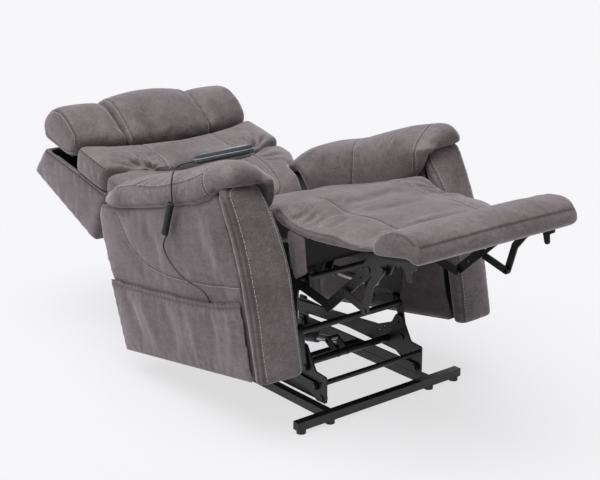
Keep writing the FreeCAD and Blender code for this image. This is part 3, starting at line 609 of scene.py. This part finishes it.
def pocket():
    """Hanging cloth of the side pocket; its hemmed mouth stands off the panel."""
    mouth = [(76, 233), (140, 222), (204, 216), (340, 215), (478, 217), (630, 224), (771, 232)]
    outline = [(58, 5), (735, 5), (780, 232)] + mouth[::-1][1:]
    obj = loft("pocket_cloth", "yzx", [(444, outline), (449, outline)], 4, 1)
    for vertex in obj.data.vertices:
        low = 1 - min(1, max(0, vertex.co.z / 0.23))
        vertex.co.x -= 0.0015 * low
    hem = [(450, y, z - 17) for y, z in mouth]
    lip = [(450, y, z - 1.5) for y, z in mouth]
    waves = [(flat(450, (690, 195), (650, 120), (600, 40)), 3.4, 22), (flat(450, (620, 190), (560, 110),
        (520, 30)), -3.0, 26), (flat(450, (470, 190), (440, 110), (430, 30)), 2.6, 28),
        (flat(450, (340, 185), (320, 110), (330, 30)), -2.4, 26), (flat(450, (250, 190), (220, 120),
        (230, 40)), 2.6, 22), (flat(450, (140, 190), (130, 120), (150, 40)), -2.2, 22)]
    return Soft(obj, BODY, "chair_body", ["side_pocket"], voxel=0.006, cap=3.5, pressure=1.5, rounds=1,
        hold=lambda p: p.z < 12 or p.y < between(FACING_REAR, p.z) + 12
        or p.y > between(SIDE_REAR, p.z) - 14, seams=[seam(hem, stitch=(), depth=0.9, width=3, pucker=0.2),
        seam(lip, stitch=(), depth=-0.8, width=5, pucker=0.3)], folds=waves, fill=0.2)


def inner_panel():
    outline = [(54, 3), (712, 3), (779, 338), (774, 448), (220, 450), (170, 500), (122, 520), (110, 470),
        (103, 420), (83, 340), (69, 230), (63, 110)]
    obj = loft("arm_inner_left", "yzx", [(307, outline), (322, outline)], 8, 1)
    return Soft(obj, BODY, "chair_body", ["arm_inner_panels"], voxel=0.012, cap=4, pressure=1.5, rounds=2,
        hold=lambda p: p.x > 316, fill=0.3)


# ---- seat and footrest ----
def seat_cushion():
    outline = [(84, 360), (552, 360), (560, 398), (500, 424), (300, 436), (200, 446), (140, 456), (84, 461)]
    inset = [(92, 366), (540, 366), (548, 394), (500, 412), (300, 424), (200, 434), (140, 444), (92, 450)]
    obj = loft("seat_cushion_cover", "yzx", [(-249, inset), (-238, outline), (238, outline), (249, inset)],
        16, 1)
    rows = [seam(flat(x, (540, 414), (300, 437), (180, 449), (92, 461))) for x in (-150, 150)]
    return Soft(obj, BODY, "chair_body", ["seat_cushion"], voxel=0.01, cap=14, pressure=4,
        hold=lambda p: p.z < 376 or p.y < 90, seams=rows)


LEGREST_TOP = ((-311, 392), (-290, 396), (-240, 404), (-200, 416), (-158, 424), (-97, 430), (-53, 436),
    (-13, 452), (24, 466), (60, 471), (84, 472), (104, 466))
LEGREST_EDGE = ((-311, 380), (-240, 377), (-197, 383), (-151, 398), (-94, 402), (-36, 408), (23, 423),
    (66, 450), (84, 462), (104, 458))
LEGREST_BASE = ((-311, 360), (-240, 360), (-120, 368), (-31, 380), (52, 402), (84, 408), (104, 440))


def legrest_section(y):
    top, edge, base = between(LEGREST_TOP, y), between(LEGREST_EDGE, y), between(LEGREST_BASE, y)
    half = between(((-311, 276), (-240, 284), (-100, 290), (0, 291), (84, 290), (104, 284)), y)
    return [(-half + 6, base), (-half, edge - 3), (-half + 26, edge + 6), (-150, top), (0, top + 3),
        (150, top), (half - 26, edge + 6), (half, edge - 3), (half - 6, base), (0, base)]


def legrest():
    places = (-310, -290, -240, -200, -158, -97, -53, -13, 24, 52, 74, 92, 104)
    obj = loft("legrest_cover", "xzy", [(y, legrest_section(y)) for y in places], 26)
    seams = []
    for side in (-1, 1):
        x = 151 * side
        seams.append(seam([(x, 100, 468), (x, 60, 472), (x, 18, 468), (x, -13, 453), (x, -53, 434),
            (x, -97, 427), (x, -158, 424), (x, -204, 415), (x, -233, 403), (x * 1.03, -290, 396)],
            stitch=(5.5 * side,), depth=3.0))
        rim = 287 * side
        seams.append(seam([(288 * side, 98, 462), (rim, 74, 456), (rim, 40, 434), (rim, -20, 412),
            (rim, -94, 402), (rim, -151, 398), (rim, -200, 384), (280 * side, -240, 378)], stitch=(),
            depth=2.0))
    folds = [([(-284, 30, 430), (-240, 22, 452), (-196, 30, 462)], 3.6, 9),
        ([(-284, 0, 420), (-240, -10, 438), (-190, 0, 452)], 4.2, 10), ([(-282, -40, 410), (-240, -38, 428),
        (-180, -36, 438)], 3.6, 11), ([(-276, -60, 408), (-240, -66, 420), (-176, -60, 428)], -2.6, 12),
        ([(-262, -110, 412), (-215, -96, 424), (-176, -92, 427)], 2.6, 12),
        ([(-120, -20, 452), (-20, -26, 450), (100, -16, 452)], 2.8, 16),
        ([(-130, -62, 432), (-10, -70, 434), (110, -60, 434)], -2.2, 18),
        ([(-120, -110, 426), (0, -128, 428), (90, -108, 428)], 1.8, 16),
        ([(170, 10, 462), (215, 6, 458), (262, 22, 440)], 3.8, 11), ([(166, -24, 448), (214, -34, 440),
        (270, -14, 420)], 3.2, 12), ([(168, -80, 430), (220, -96, 422), (272, -90, 408)], -2.2, 14),
        ([(-140, -262, 401), (0, -266, 404), (140, -262, 401)], -2.2, 18)]
    return Soft(obj, BODY, "legrest_pad", ["legrest_pad"], voxel=0.007, cap=12, pressure=3.5, rounds=4,
        hold=lambda p: p.z < between(LEGREST_BASE, p.y) + 6 or p.y < -300 or p.y > 94, seams=seams,
        folds=folds, gain=LOOSE_GAIN, squash=("footrest", (0, -0.208, 0.978), (0, -110, 490), 0.45))


BOLSTER = ((-313, 359), (-313, 392), (-330, 408), (-358, 421), (-400, 428), (-446, 424), (-470, 412),
    (-482, 394), (-492, 372), (-490, 354), (-470, 342), (-454, 344), (-450, 359))


def bolster():
    middle = Vector((-400, 385))
    ends = []
    for x, size in ((-300, 0.86), (-296, 0.95), (-284, 1.0), (284, 1.0), (296, 0.95), (300, 0.86)):
        outline = [middle + (Vector(p) - middle) * size for p in BOLSTER]
        ends.append((x, [(p.x, max(p.y, 340) if p.x < -452 else max(p.y, 359)) for p in outline]))
    obj = loft("bolster_cover", "yzx", ends, 14, 1)
    front = [(x, -483 + abs(x) / 60, 392 - abs(x) / 50) for x in range(-280, 281, 56)]
    near = []
    for side in (-1, 1):
        x = 296 * side
        near.append(seam(flat(x, (-318, 392), (-345, 411), (-398, 424), (-444, 418), (-474, 396)),
            stitch=(), depth=1.8))
    return Soft(obj, BODY, "footrest_board", ["footrest_bolster"], voxel=0.007, cap=8, pressure=3.5,
        rounds=5, hold=lambda p: p.z < 363 or p.y > -316, seams=[seam(front, stitch=(), depth=2.0)] + near,
        folds=[([(-290, -340, 404), (-240, -362, 420), (-200, -380, 427)], 2.0, 12),
        ([(286, -340, 404), (236, -366, 420), (190, -386, 427)], 2.0, 12)], fill=0.8)


def side_flap(side, name):
    """Cloth gusset that hangs from the legrest pad's edge beside the seat."""
    outline = [(-22, 284), (36, 262), (46, 300), (52, 392), (40, 404), (-26, 384)]
    obj = loft(name, "yzx", [(278, outline), (283, outline)], 6, 1)
    if side < 0:
        flip(obj)
    folds = [(flat(280 * side, (30, 280), (22, 330), (26, 390)), 2.0, 8)]
    return Soft(obj, BODY, "legrest_pad", [], voxel=0.004, cap=3, pressure=1, rounds=1, folds=folds,
        fill=0.1)


# ---- the back ----
def slab(name, outline, low, high, bevel):
    """Cushion drawn in the back's plane, with its rim drawn in at both faces."""
    middle = sum((Vector(p) for p in outline), Vector((0, 0))) / len(outline)
    inset = [Vector(p) + (middle - Vector(p)).normalized() * bevel for p in outline]
    tight = [Vector(p) + (middle - Vector(p)).normalized() * 5 for p in outline]
    return loft(name, "xyz", [(low, tight), (low + 5, outline), (high - bevel, outline), (high, inset)], 16,
        1)


def both(points):
    """Outline given from the centre line outwards, completed with its mirror image."""
    return points + [(-x, y) for x, y in reversed(points) if abs(x) > 0.5]


FRONT_SKIN = 0.08  # metres above the back's plane; what lies higher is the lumbar's front
FOOT_DROP = 0.055
WING_DROP = 0.02


def lumbar():
    outline = both([(0, 282), (168, 280), (256, 332), (352, 358), (355, 285), (318, 226), (254, 180),
        (226, 78), (206, 22), (0, 20)])
    obj = slab("lumbar_cover", outline, 48, 136, 12)
    for vertex in obj.data.vertices:
        spot = vertex.co
        if spot.z > FRONT_SKIN:
            foot, wing = max(0, 0.1 - spot.y) / 0.1, max(0, abs(spot.x) - 0.25) / 0.1
            spot.z -= FOOT_DROP * foot + WING_DROP * wing
    seams = []
    for side in (-1, 1):
        for x, top, stitch in ((172, 270, -5.5), (128, 200, 5.5)):
            line = [(x * side, top, 138), (x * side * 0.99, 206, 140), (x * side * 0.93, 146, 140),
                (x * side * 0.76, 57, 130), (x * side * 0.5, 24, 110)]
            if x < 150:
                line = [(110 * side, 262, 140), (128 * side, 206, 141), (118 * side, 150, 141),
                    (106 * side, 108, 138), (74 * side, 50, 128), (60 * side, 24, 110)]
            seams.append(seam(line, stitch=(stitch * side,), depth=2.6))
    folds = [([(176, 270, 138), (230, 292, 136), (300, 330, 126)], 2.2, 9),
        ([(180, 252, 138), (232, 250, 136), (290, 262, 126)], 3.0, 10), ([(180, 232, 138), (220, 214, 134),
        (262, 204, 124)], 2.4, 10)]
    folds += sided(-1, folds)
    return Soft(obj, BACK, "back", ["lumbar_cushion"], cap=16, pressure=4, rounds=5,
        hold=lambda p: p.z < 64, seams=seams, folds=folds, gain=LOOSE_GAIN,
        squash=("backrest", (0, 1, 0), (0, 350, 90), 0.76))


def shoulder():
    outline = both([(0, 290), (168, 288), (254, 342), (354, 366), (356, 460), (353, 552), (250, 516),
        (150, 494), (0, 488)])
    obj = slab("shoulder_cover", outline, 47, 137, 13)
    seams = []
    for side in (-1, 1):
        seams.append(seam([(140 * side, 490, 136), (136 * side, 430, 142), (140 * side, 366, 142),
            (156 * side, 292, 138)], stitch=(-5.5 * side,), depth=3.4))
        seams.append(seam([(347 * side, 540, 126), (352 * side, 450, 128), (350 * side, 376, 126)],
            stitch=(-5.5 * side,), depth=2.0))
    folds = [([(190, 312, 136), (216, 350, 142), (214, 400, 143)], 4.4, 9),
        ([(206, 316, 136), (250, 366, 142), (262, 414, 141)], 4.0, 10), ([(176, 308, 138), (176, 356, 143),
        (162, 410, 143)], 3.6, 9), ([(226, 330, 134), (276, 366, 138), (312, 396, 134)], 3.2, 10),
        ([(232, 350, 140), (240, 400, 142), (238, 440, 140)], -2.6, 12), ([(351, 500, 104), (353, 497, 76)],
        0.7, 9), ([(351, 450, 108), (353, 446, 72)], 0.8, 9), ([(351, 410, 106), (353, 404, 74)], 0.7, 9)]
    folds = sided(-1, folds) + folds
    tucks = [((206 * side, 318, 138), 13.0, 44, 7) for side in (-1, 1)]
    return Soft(obj, BACK, "back", ["shoulder_cushion"], cap=16, pressure=4, rounds=5,
        hold=lambda p: p.z < 70, seams=seams, folds=folds, tucks=tucks, gain=LOOSE_GAIN)


def head_outline(lift, low):
    """Side profile of the headrest; low draws its bottom edge down towards the middle."""
    return [(598, 73), (572 - low, 92), (562 - low, 120), (568 - low, 150), (614, 184 + lift),
        (672, 202 + lift), (722, 196 + lift), (762, 170 + lift), (790, 134), (788, 98), (772, 73)]


HEAD_MIDDLE = Vector((672, 120))


def head_station(x, size, lift, low):
    outline = [HEAD_MIDDLE + (Vector(p) - HEAD_MIDDLE) * size for p in head_outline(lift, low)]
    return (x, [(p.x, max(73, p.y)) for p in outline])


def headrest_side(side, name):
    ends = [head_station(*row) for row in ((172, 0.96, 4, 46), (190, 1.0, 6, 42), (240, 1.0, 10, 30),
        (300, 1.0, 10, 14), (334, 0.99, 8, 4), (346, 0.96, 4, 2), (353, 0.88, 0, 0))]
    obj = loft(name, "yzx", ends, 16, 3)
    if side < 0:
        flip(obj)
    rim = [(344 * side, 566, 128), (345 * side, 574, 158), (344 * side, 622, 184), (343 * side, 676, 198),
        (342 * side, 726, 186), (343 * side, 764, 160), (345 * side, 786, 126)]
    low_rim = [(348 * side, 572, 102), (350 * side, 620, 92), (350 * side, 690, 90), (349 * side, 768, 98)]
    return Soft(obj, BACK, "headrest", ["headrest_side_pads"], cap=9, pressure=4, rounds=5,
        hold=lambda p: p.z < 78, seams=[seam(rim, stitch=(-5.5 * side,), depth=2.2),
        seam(low_rim, stitch=(-5.5 * side,), depth=1.4)], folds=[([(250 * side, 560, 150),
        (262 * side, 604, 172), (266 * side, 640, 186)], 2.2, 18)])


def headrest_pillow():
    ends = [head_station(x, size, lift, 50) for x, size, lift in ((-167, 0.94, 12), (-154, 0.99, 16),
        (-80, 1.015, 26), (0, 1.02, 30), (80, 1.015, 26), (154, 0.99, 16), (167, 0.94, 12))]
    obj = loft("headrest_pillow_cover", "yzx", ends, 18, 3)
    seams = []
    for side in (-1, 1):
        x = 152 * side
        seams.append(seam(flat(x, (516, 138), (560, 166), (620, 200), (672, 216), (722, 210), (764, 182),
            (792, 142)), stitch=(-5.5 * side,), depth=2.2))
    return Soft(obj, BACK, "headrest", ["headrest_pillow"], cap=12, pressure=4, rounds=5,
        hold=lambda p: p.z < 78, seams=seams, folds=[([(-120, 540, 150), (0, 548, 160), (120, 540, 150)],
        1.6, 22)])


def shell():
    """Upholstered casing behind the back: rim, back panel and soft corners."""
    outer = [(352, 47), (560, 45), (768, 37), (838, -80), (402, -154)]
    inner = [(376, 60), (750, 60), (752, 12), (802, -66), (416, -132), (376, -10)]
    obj = loft("back_shell_cover", "yzx", [(-351, outer), (351, outer)], 15, 1)
    cut = loft("hollow", "yzx", [(-334, inner), (334, inner)], 8, 1)
    carve = obj.modifiers.new("carve", "BOOLEAN")
    carve.operation = "DIFFERENCE"
    carve.object = cut
    apply_modifiers(obj)
    bpy.data.objects.remove(cut)
    seams = []
    for side in (-1, 1):
        x = 350 * side
        seams.append(seam(flat(x, (366, 36), (570, 34), (762, 28)), stitch=(5.5 * side,), depth=1.2,
            width=3.5))
        seams.append(seam(flat(346 * side, (412, -150), (620, -113), (828, -77)), stitch=(-5.5 * side,),
            depth=2.0))
        seams.append(seam(flat(118 * side, (412, -152), (620, -116), (826, -80)), stitch=(5.5 * side,),
            depth=2.0))
    seams.append(seam([(-344, 826, -79), (0, 832, -80), (344, 826, -79)], stitch=(5.5,), depth=2.0))
    return Soft(obj, BACK, "back", ["back_shell"], voxel=0.008, cap=3, pressure=1, rounds=3,
        hold=lambda p: abs(p.x) < 340 and p.z > -0.17 * (836 - p.y) - 66, seams=seams, fill=0.3)


# ---- materials ----
def srgb(*values):
    return tuple((v / 255 / 12.92 if v / 255 < 0.04045 else ((v / 255 + 0.055) / 1.055) ** 2.4)
        for v in values) + (1,)


def put(node, values):
    """Set a node's own constants."""
    for socket, value in values.items():
        node.inputs[socket].default_value = value


class Finish:
    """A material and short ways to add its nodes."""

    def __init__(self, name, roughness=0.5, metallic=0.0):
        self.material = bpy.data.materials.new(name)
        self.material.use_nodes = True
        self.nodes = self.material.node_tree.nodes
        self.links = self.material.node_tree.links
        self.shader = self.nodes["Principled BSDF"]
        put(self.shader, {"Roughness": roughness, "Metallic": metallic})
        self.where = self.nodes.new("ShaderNodeTexCoord").outputs["Object"]

    def noise(self, scale, detail=3.0, rough=0.5, distortion=0.0, stretch=None):
        node = self.nodes.new("ShaderNodeTexNoise")
        put(node, {"Scale": scale, "Detail": detail, "Roughness": rough, "Distortion": distortion})
        source = self.where
        if stretch:
            mapping = self.nodes.new("ShaderNodeMapping")
            mapping.inputs["Scale"].default_value = stretch
            self.links.new(source, mapping.inputs["Vector"])
            source = mapping.outputs["Vector"]
        self.links.new(source, node.inputs["Vector"])
        return node.outputs["Fac"]

    def ramp(self, factor, low, high, start=0.0, stop=1.0):
        node = self.nodes.new("ShaderNodeValToRGB")
        for end, place, colour in zip(node.color_ramp.elements, (start, stop), (low, high)):
            end.position = place
            end.color = colour
        self.links.new(factor, node.inputs["Fac"])
        return node.outputs["Color"]

    def mix(self, factor, a, b, blend="MIX"):
        node = self.nodes.new("ShaderNodeMix")
        node.data_type = "RGBA"
        node.blend_type = blend
        if isinstance(factor, float):
            node.inputs["Factor"].default_value = factor
        else:
            self.links.new(factor, node.inputs["Factor"])
        for value, socket in ((a, "A"), (b, "B")):
            target = next(s for s in node.inputs if s.name == socket and s.type == "RGBA")
            if isinstance(value, tuple):
                target.default_value = value
            else:
                self.links.new(value, target)
        return next(s for s in node.outputs if s.type == "RGBA")

    def span(self, factor, low, high):
        node = self.nodes.new("ShaderNodeMapRange")
        put(node, {"To Min": low, "To Max": high})
        self.links.new(factor, node.inputs["Value"])
        return node.outputs["Result"]

    def add(self, a, b):
        node = self.nodes.new("ShaderNodeMath")
        node.operation = "ADD"
        self.links.new(a, node.inputs[0])
        self.links.new(b, node.inputs[1])
        return node.outputs["Value"]

    def colour(self, source):
        self.links.new(source, self.shader.inputs["Base Color"])

    def rough(self, factor, low, high):
        self.links.new(self.span(factor, low, high), self.shader.inputs["Roughness"])

    def bump(self, height, distance, strength=1.0):
        node = self.nodes.new("ShaderNodeBump")
        put(node, {"Distance": distance, "Strength": strength})
        self.links.new(height, node.inputs["Height"])
        self.links.new(node.outputs["Normal"], self.shader.inputs["Normal"])


def microsuede():
    """Brushed grey-brown cloth: soft clouds, nap streaks, fine grain, and painted shade darkening the seam
    grooves.
    """
    cloth = Finish("microsuede", 0.82)
    clouds = cloth.ramp(cloth.noise(7, 5, 0.6, 0.6), srgb(66, 60, 58), srgb(110, 100, 101), 0.3, 0.7)
    nap = cloth.ramp(cloth.noise(42, 4, 0.62, 0.9, (1.0, 0.75, 1.5)), srgb(66, 60, 59), srgb(114, 104, 107),
        0.33, 0.68)
    base = cloth.mix(0.4, clouds, nap)
    grain = cloth.noise(300, 4, 0.8)
    speck = cloth.ramp(grain, (0.52, 0.52, 0.52, 1), (1.45, 1.45, 1.45, 1), 0.34, 0.66)
    base = cloth.mix(0.85, base, speck, "MULTIPLY")
    # painted shade: the colour is darkened towards the seams, where the pressed-in grooves lie in shade
    seam_shade_mask = cloth.nodes.new("ShaderNodeAttribute")
    seam_shade_mask.attribute_name = "seam"
    depth = cloth.span(seam_shade_mask.outputs["Fac"], 0.0, 0.8)
    base = cloth.mix(depth, base, srgb(38, 35, 36))
    cloth.colour(base)
    cloth.rough(cloth.noise(60, 3), 0.5, 0.72)
    fine = cloth.span(grain, 0.0, 0.35)
    broad = cloth.span(cloth.noise(150, 4, 0.65, 0.4), 0.0, 0.9)
    cloth.bump(cloth.add(fine, broad), 0.0011, 0.85)
    put(cloth.shader, {"Sheen Weight": 0.75, "Sheen Roughness": 0.36, "Sheen Tint": srgb(245, 232, 244),
        "Specular IOR Level": 0.42})
    return cloth.material


def thread_finish():
    thread = Finish("thread", 0.7)
    twist = thread.noise(1500, 1, 0.5, 0, (1, 1, 1))
    thread.colour(thread.ramp(twist, srgb(146, 142, 138), srgb(196, 192, 188), 0.35, 0.65))
    thread.bump(twist, 0.0003)
    return thread.material


def darker(colour, share):
    return tuple(c * share for c in colour[:3]) + (1,)


def painted_steel(name, colour, roughness=0.38):
    """Powder coat: slight orange peel with rubbed, brighter patches."""
    steel = Finish(name, roughness)
    wear = steel.noise(26, 6, 0.62)
    steel.colour(steel.ramp(wear, darker(colour, 0.75), colour, 0.3, 0.7))
    steel.rough(wear, roughness - 0.08, roughness + 0.16)
    steel.bump(steel.noise(520, 2, 0.5), 0.00025, 0.6)
    return steel.material


def bare_metal(name, colour, roughness=0.25):
    metal = Finish(name, roughness, 1.0)
    brushed = metal.noise(240, 3, 0.6, 0, (1, 14, 14))
    metal.colour(metal.ramp(brushed, darker(colour, 0.8), colour, 0.3, 0.7))
    metal.rough(brushed, roughness - 0.06, roughness + 0.12)
    metal.bump(brushed, 0.0001, 0.4)
    return metal.material


def plastic(name, colour, roughness=0.45, grain=900):
    moulded = Finish(name, roughness)
    mottle = moulded.noise(30, 4, 0.6)
    moulded.colour(moulded.ramp(mottle, darker(colour, 0.85), colour, 0.3, 0.7))
    moulded.rough(mottle, roughness - 0.06, roughness + 0.08)
    moulded.bump(moulded.noise(grain, 2, 0.6), 0.0002, 0.5)
    return moulded.material


FINISHES = {name: make(name, srgb(*colour), *rest) for name, make, colour, *rest in (
    ("black_steel", painted_steel, (15, 15, 17), 0.34),
    ("black_plastic", plastic, (30, 30, 32), 0.5),
    ("bright_steel", bare_metal, (200, 202, 205)),
    ("spring_steel", bare_metal, (120, 122, 126), 0.35),
    ("actuator_grey", plastic, (74, 76, 80), 0.5),
    ("board_black", plastic, (34, 33, 34), 0.75, 400),
    ("lining_black", plastic, (28, 27, 28), 0.9, 1400),
    ("handset_plastic", plastic, (62, 66, 70), 0.36),
    ("handset_silver", plastic, (176, 182, 184), 0.28),
    ("button_grey", plastic, (148, 152, 156), 0.45),
    ("cord_black", plastic, (34, 35, 38), 0.46, 1600),
)}
SUEDE = microsuede()
THREAD = thread_finish()


def paint(obj, material):
    obj.data.materials.clear()
    obj.data.materials.append(material)


def paint_nodes():
    """Give every kept CAD node the finish of its own slot."""
    slots = {}
    for entry in frame["record"]["materials"]:
        for node in entry.get("nodes", []):
            slots[node] = entry["slot"]
    for name, obj in frame["nodes"].items():
        for held in obj.material_slots:
            slot = slots.get(name) or held.material.name.split(".")[0]
            held.material = FINISHES.get(slot, SUEDE)


# ---- the cord ----
CORD_D = 5.0
COIL_D = 21.0
COIL_TURNS = 19
TURN_POINTS = 12
CORD_TOP = [(-396, 352, 596), (-416, 352, 591), (-440, 338, 583), (-458, 325, 560), (-464, 325, 527)]
COIL_TOP = (-463, 335, 496)
COIL_END = (-463, 393, 396)
CORD_LOW = [(-462, 411, 366), (-461, 398, 333), (-460, 364, 300), (-459, 318, 274), (-457, 272, 260),
    (-448, 240, 243), (-441.2, 228, 215), (-441, 226, 180)]


def coil_points():
    """The curly part: an even helix about the line from its top to its lower end."""
    top, end = Vector(COIL_TOP), Vector(COIL_END)
    along = (end - top).normalized()
    side = along.cross(Vector((1, 0, 0))).normalized()
    over = along.cross(side)
    radius = (COIL_D - CORD_D) / 2
    points = []
    for k in range(COIL_TURNS * TURN_POINTS + 1):
        share = k / (COIL_TURNS * TURN_POINTS)
        angle = 2 * math.pi * k / TURN_POINTS
        ring = side * math.cos(angle) + over * math.sin(angle)
        points.append(top + (end - top) * (0.03 + 0.94 * share) + ring * radius)
    return points


def cord():
    points = [Vector(p) for p in CORD_TOP] + coil_points() + [Vector(p) for p in CORD_LOW]
    exit_point = handset_exit()
    places = [exit_point] + [BODY @ (p * MM) for p in points]
    curve = bpy.data.curves.new("handset_cord", "CURVE")
    curve.dimensions = "3D"
    spline = curve.splines.new("NURBS")
    spline.points.add(len(places) - 1)
    for point, place in zip(spline.points, places):
        point.co = (*place, 1)
    spline.order_u = 3
    spline.use_endpoint_u = True
    curve.bevel_depth = CORD_D / 2 * MM
    curve.bevel_resolution = 4
    curve.resolution_u = 6
    curve.use_fill_caps = True
    obj = add_object("handset_cord", curve)
    curve.materials.append(FINISHES["cord_black"])
    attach(obj, "chair_body")
    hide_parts("cord_upper", "cord_coil", "cord_lower")
    return obj


def handset_exit():
    """The end of the strain relief, where the cord starts: the low, outer end of its cone."""
    verts = [v.co.copy() for v in frame["nodes"]["handset_strain_relief"].data.vertices]
    shell_low, shell_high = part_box("handset_shell")
    middle = (shell_low + shell_high) / 2
    verts.sort(key=lambda v: (v - middle).length)
    tip = verts[-max(6, len(verts) // 3):]
    return sum(tip, Vector()) / len(tip)


# ---- light, floor and camera ----
CAMERA_AZIMUTH = math.radians(-38.51)
CAMERA_ELEVATION = math.radians(17.06)
CAMERA_ROLL = math.radians(-0.12)
CAMERA_AT = Vector((-2.3498, -3.05485, 1.5762))
FOCAL = 76.97
SENSOR = 36.0
SKY_STRENGTH = 0.2
FLOOR_REACH = 300.0
FLOOR_GLOW = 0.7
SUNS = (("overhead", (-0.2, 0.0, 1.0), 4.3, 64), ("side", (-1.0, 0.4, 0.7), 0.6, 60),
    ("rim", (0.5, 0.8, 0.5), 0.5, 60))


def studio():
    corners = [(x * FLOOR_REACH, y * FLOOR_REACH, 0) for x, y in ((-1, -1), (1, -1), (1, 1), (-1, 1))]
    floor = mesh_object("floor", corners, [(0, 1, 2, 3)])
    ground = Finish("studio_floor", 0.6)
    ground.colour(ground.ramp(ground.noise(0.7, 2), (0.132, 0.131, 0.134, 1), (0.14, 0.139, 0.142, 1)))
    put(ground.shader, {"Specular IOR Level": 0.0, "Emission Color": (0.99, 0.985, 1.0, 1),
        "Emission Strength": FLOOR_GLOW})
    paint(floor, ground.material)
    world = bpy.data.worlds.new("studio")
    bpy.context.scene.world = world
    world.use_nodes = True
    put(world.node_tree.nodes["Background"], {"Color": (0.97, 0.97, 1.0, 1), "Strength": SKY_STRENGTH})
    for name, towards, power, spread in SUNS:
        lamp = bpy.data.lights.new(name, "SUN")
        lamp.energy = power
        lamp.angle = math.radians(spread)
        obj = add_object(name, lamp)
        obj.rotation_euler = Vector(towards).to_track_quat("Z", "Y").to_euler()
    bpy.context.scene.view_settings.view_transform = "Standard"


def camera():
    lens = bpy.data.cameras.new("camera")
    lens.lens = FOCAL
    lens.sensor_width = SENSOR
    obj = add_object("camera", lens)
    turn = Matrix.Rotation(CAMERA_AZIMUTH, 4, "Z") @ Matrix.Rotation(math.pi / 2 - CAMERA_ELEVATION, 4, "X")
    obj.matrix_world = Matrix.Translation(CAMERA_AT) @ turn @ Matrix.Rotation(CAMERA_ROLL, 4, "Z")
    bpy.context.scene.camera = obj


# ---- making it all ----
camera()
studio()
paint_nodes()
cord()

singles = [facing(), arm_pad(), arm_outer_left(), arm_outer_right(), pocket(), inner_panel(),
    seat_cushion(), legrest(), bolster(), side_flap(-1, "side_flap_right"), side_flap(1, "side_flap_left"),
    lumbar(), shoulder(), headrest_side(-1, "headrest_pad_right"), headrest_side(1, "headrest_pad_left"),
    headrest_pillow(), shell()]

for piece in singles:
    piece.start_cloth()
for step in range(1, 21):
    bpy.context.scene.frame_set(step)
for piece in singles:
    piece.end_cloth()
bpy.context.scene.frame_set(1)

for piece in singles:
    piece.dress()

TWINS = ("arm_facing_left", "arm_pillow_left", "arm_inner_left")
FLIPPED = ("arm_side_right", "pocket_cloth")
for piece in list(singles):
    name = piece.obj.name
    if name in TWINS:
        twin = copy(piece)
        twin.obj = mirrored_copy(piece.obj, name.replace("left", "right"))
        if piece.thread:
            twin.thread = mirrored_copy(piece.thread, piece.thread.name.replace("left", "right"))
        singles.append(twin)
    if name in FLIPPED:
        for obj in piece.skins():
            flip(obj)

for piece in singles:
    piece.settle()
    paint(piece.obj, SUEDE)
    if piece.thread:
        paint(piece.thread, THREAD)
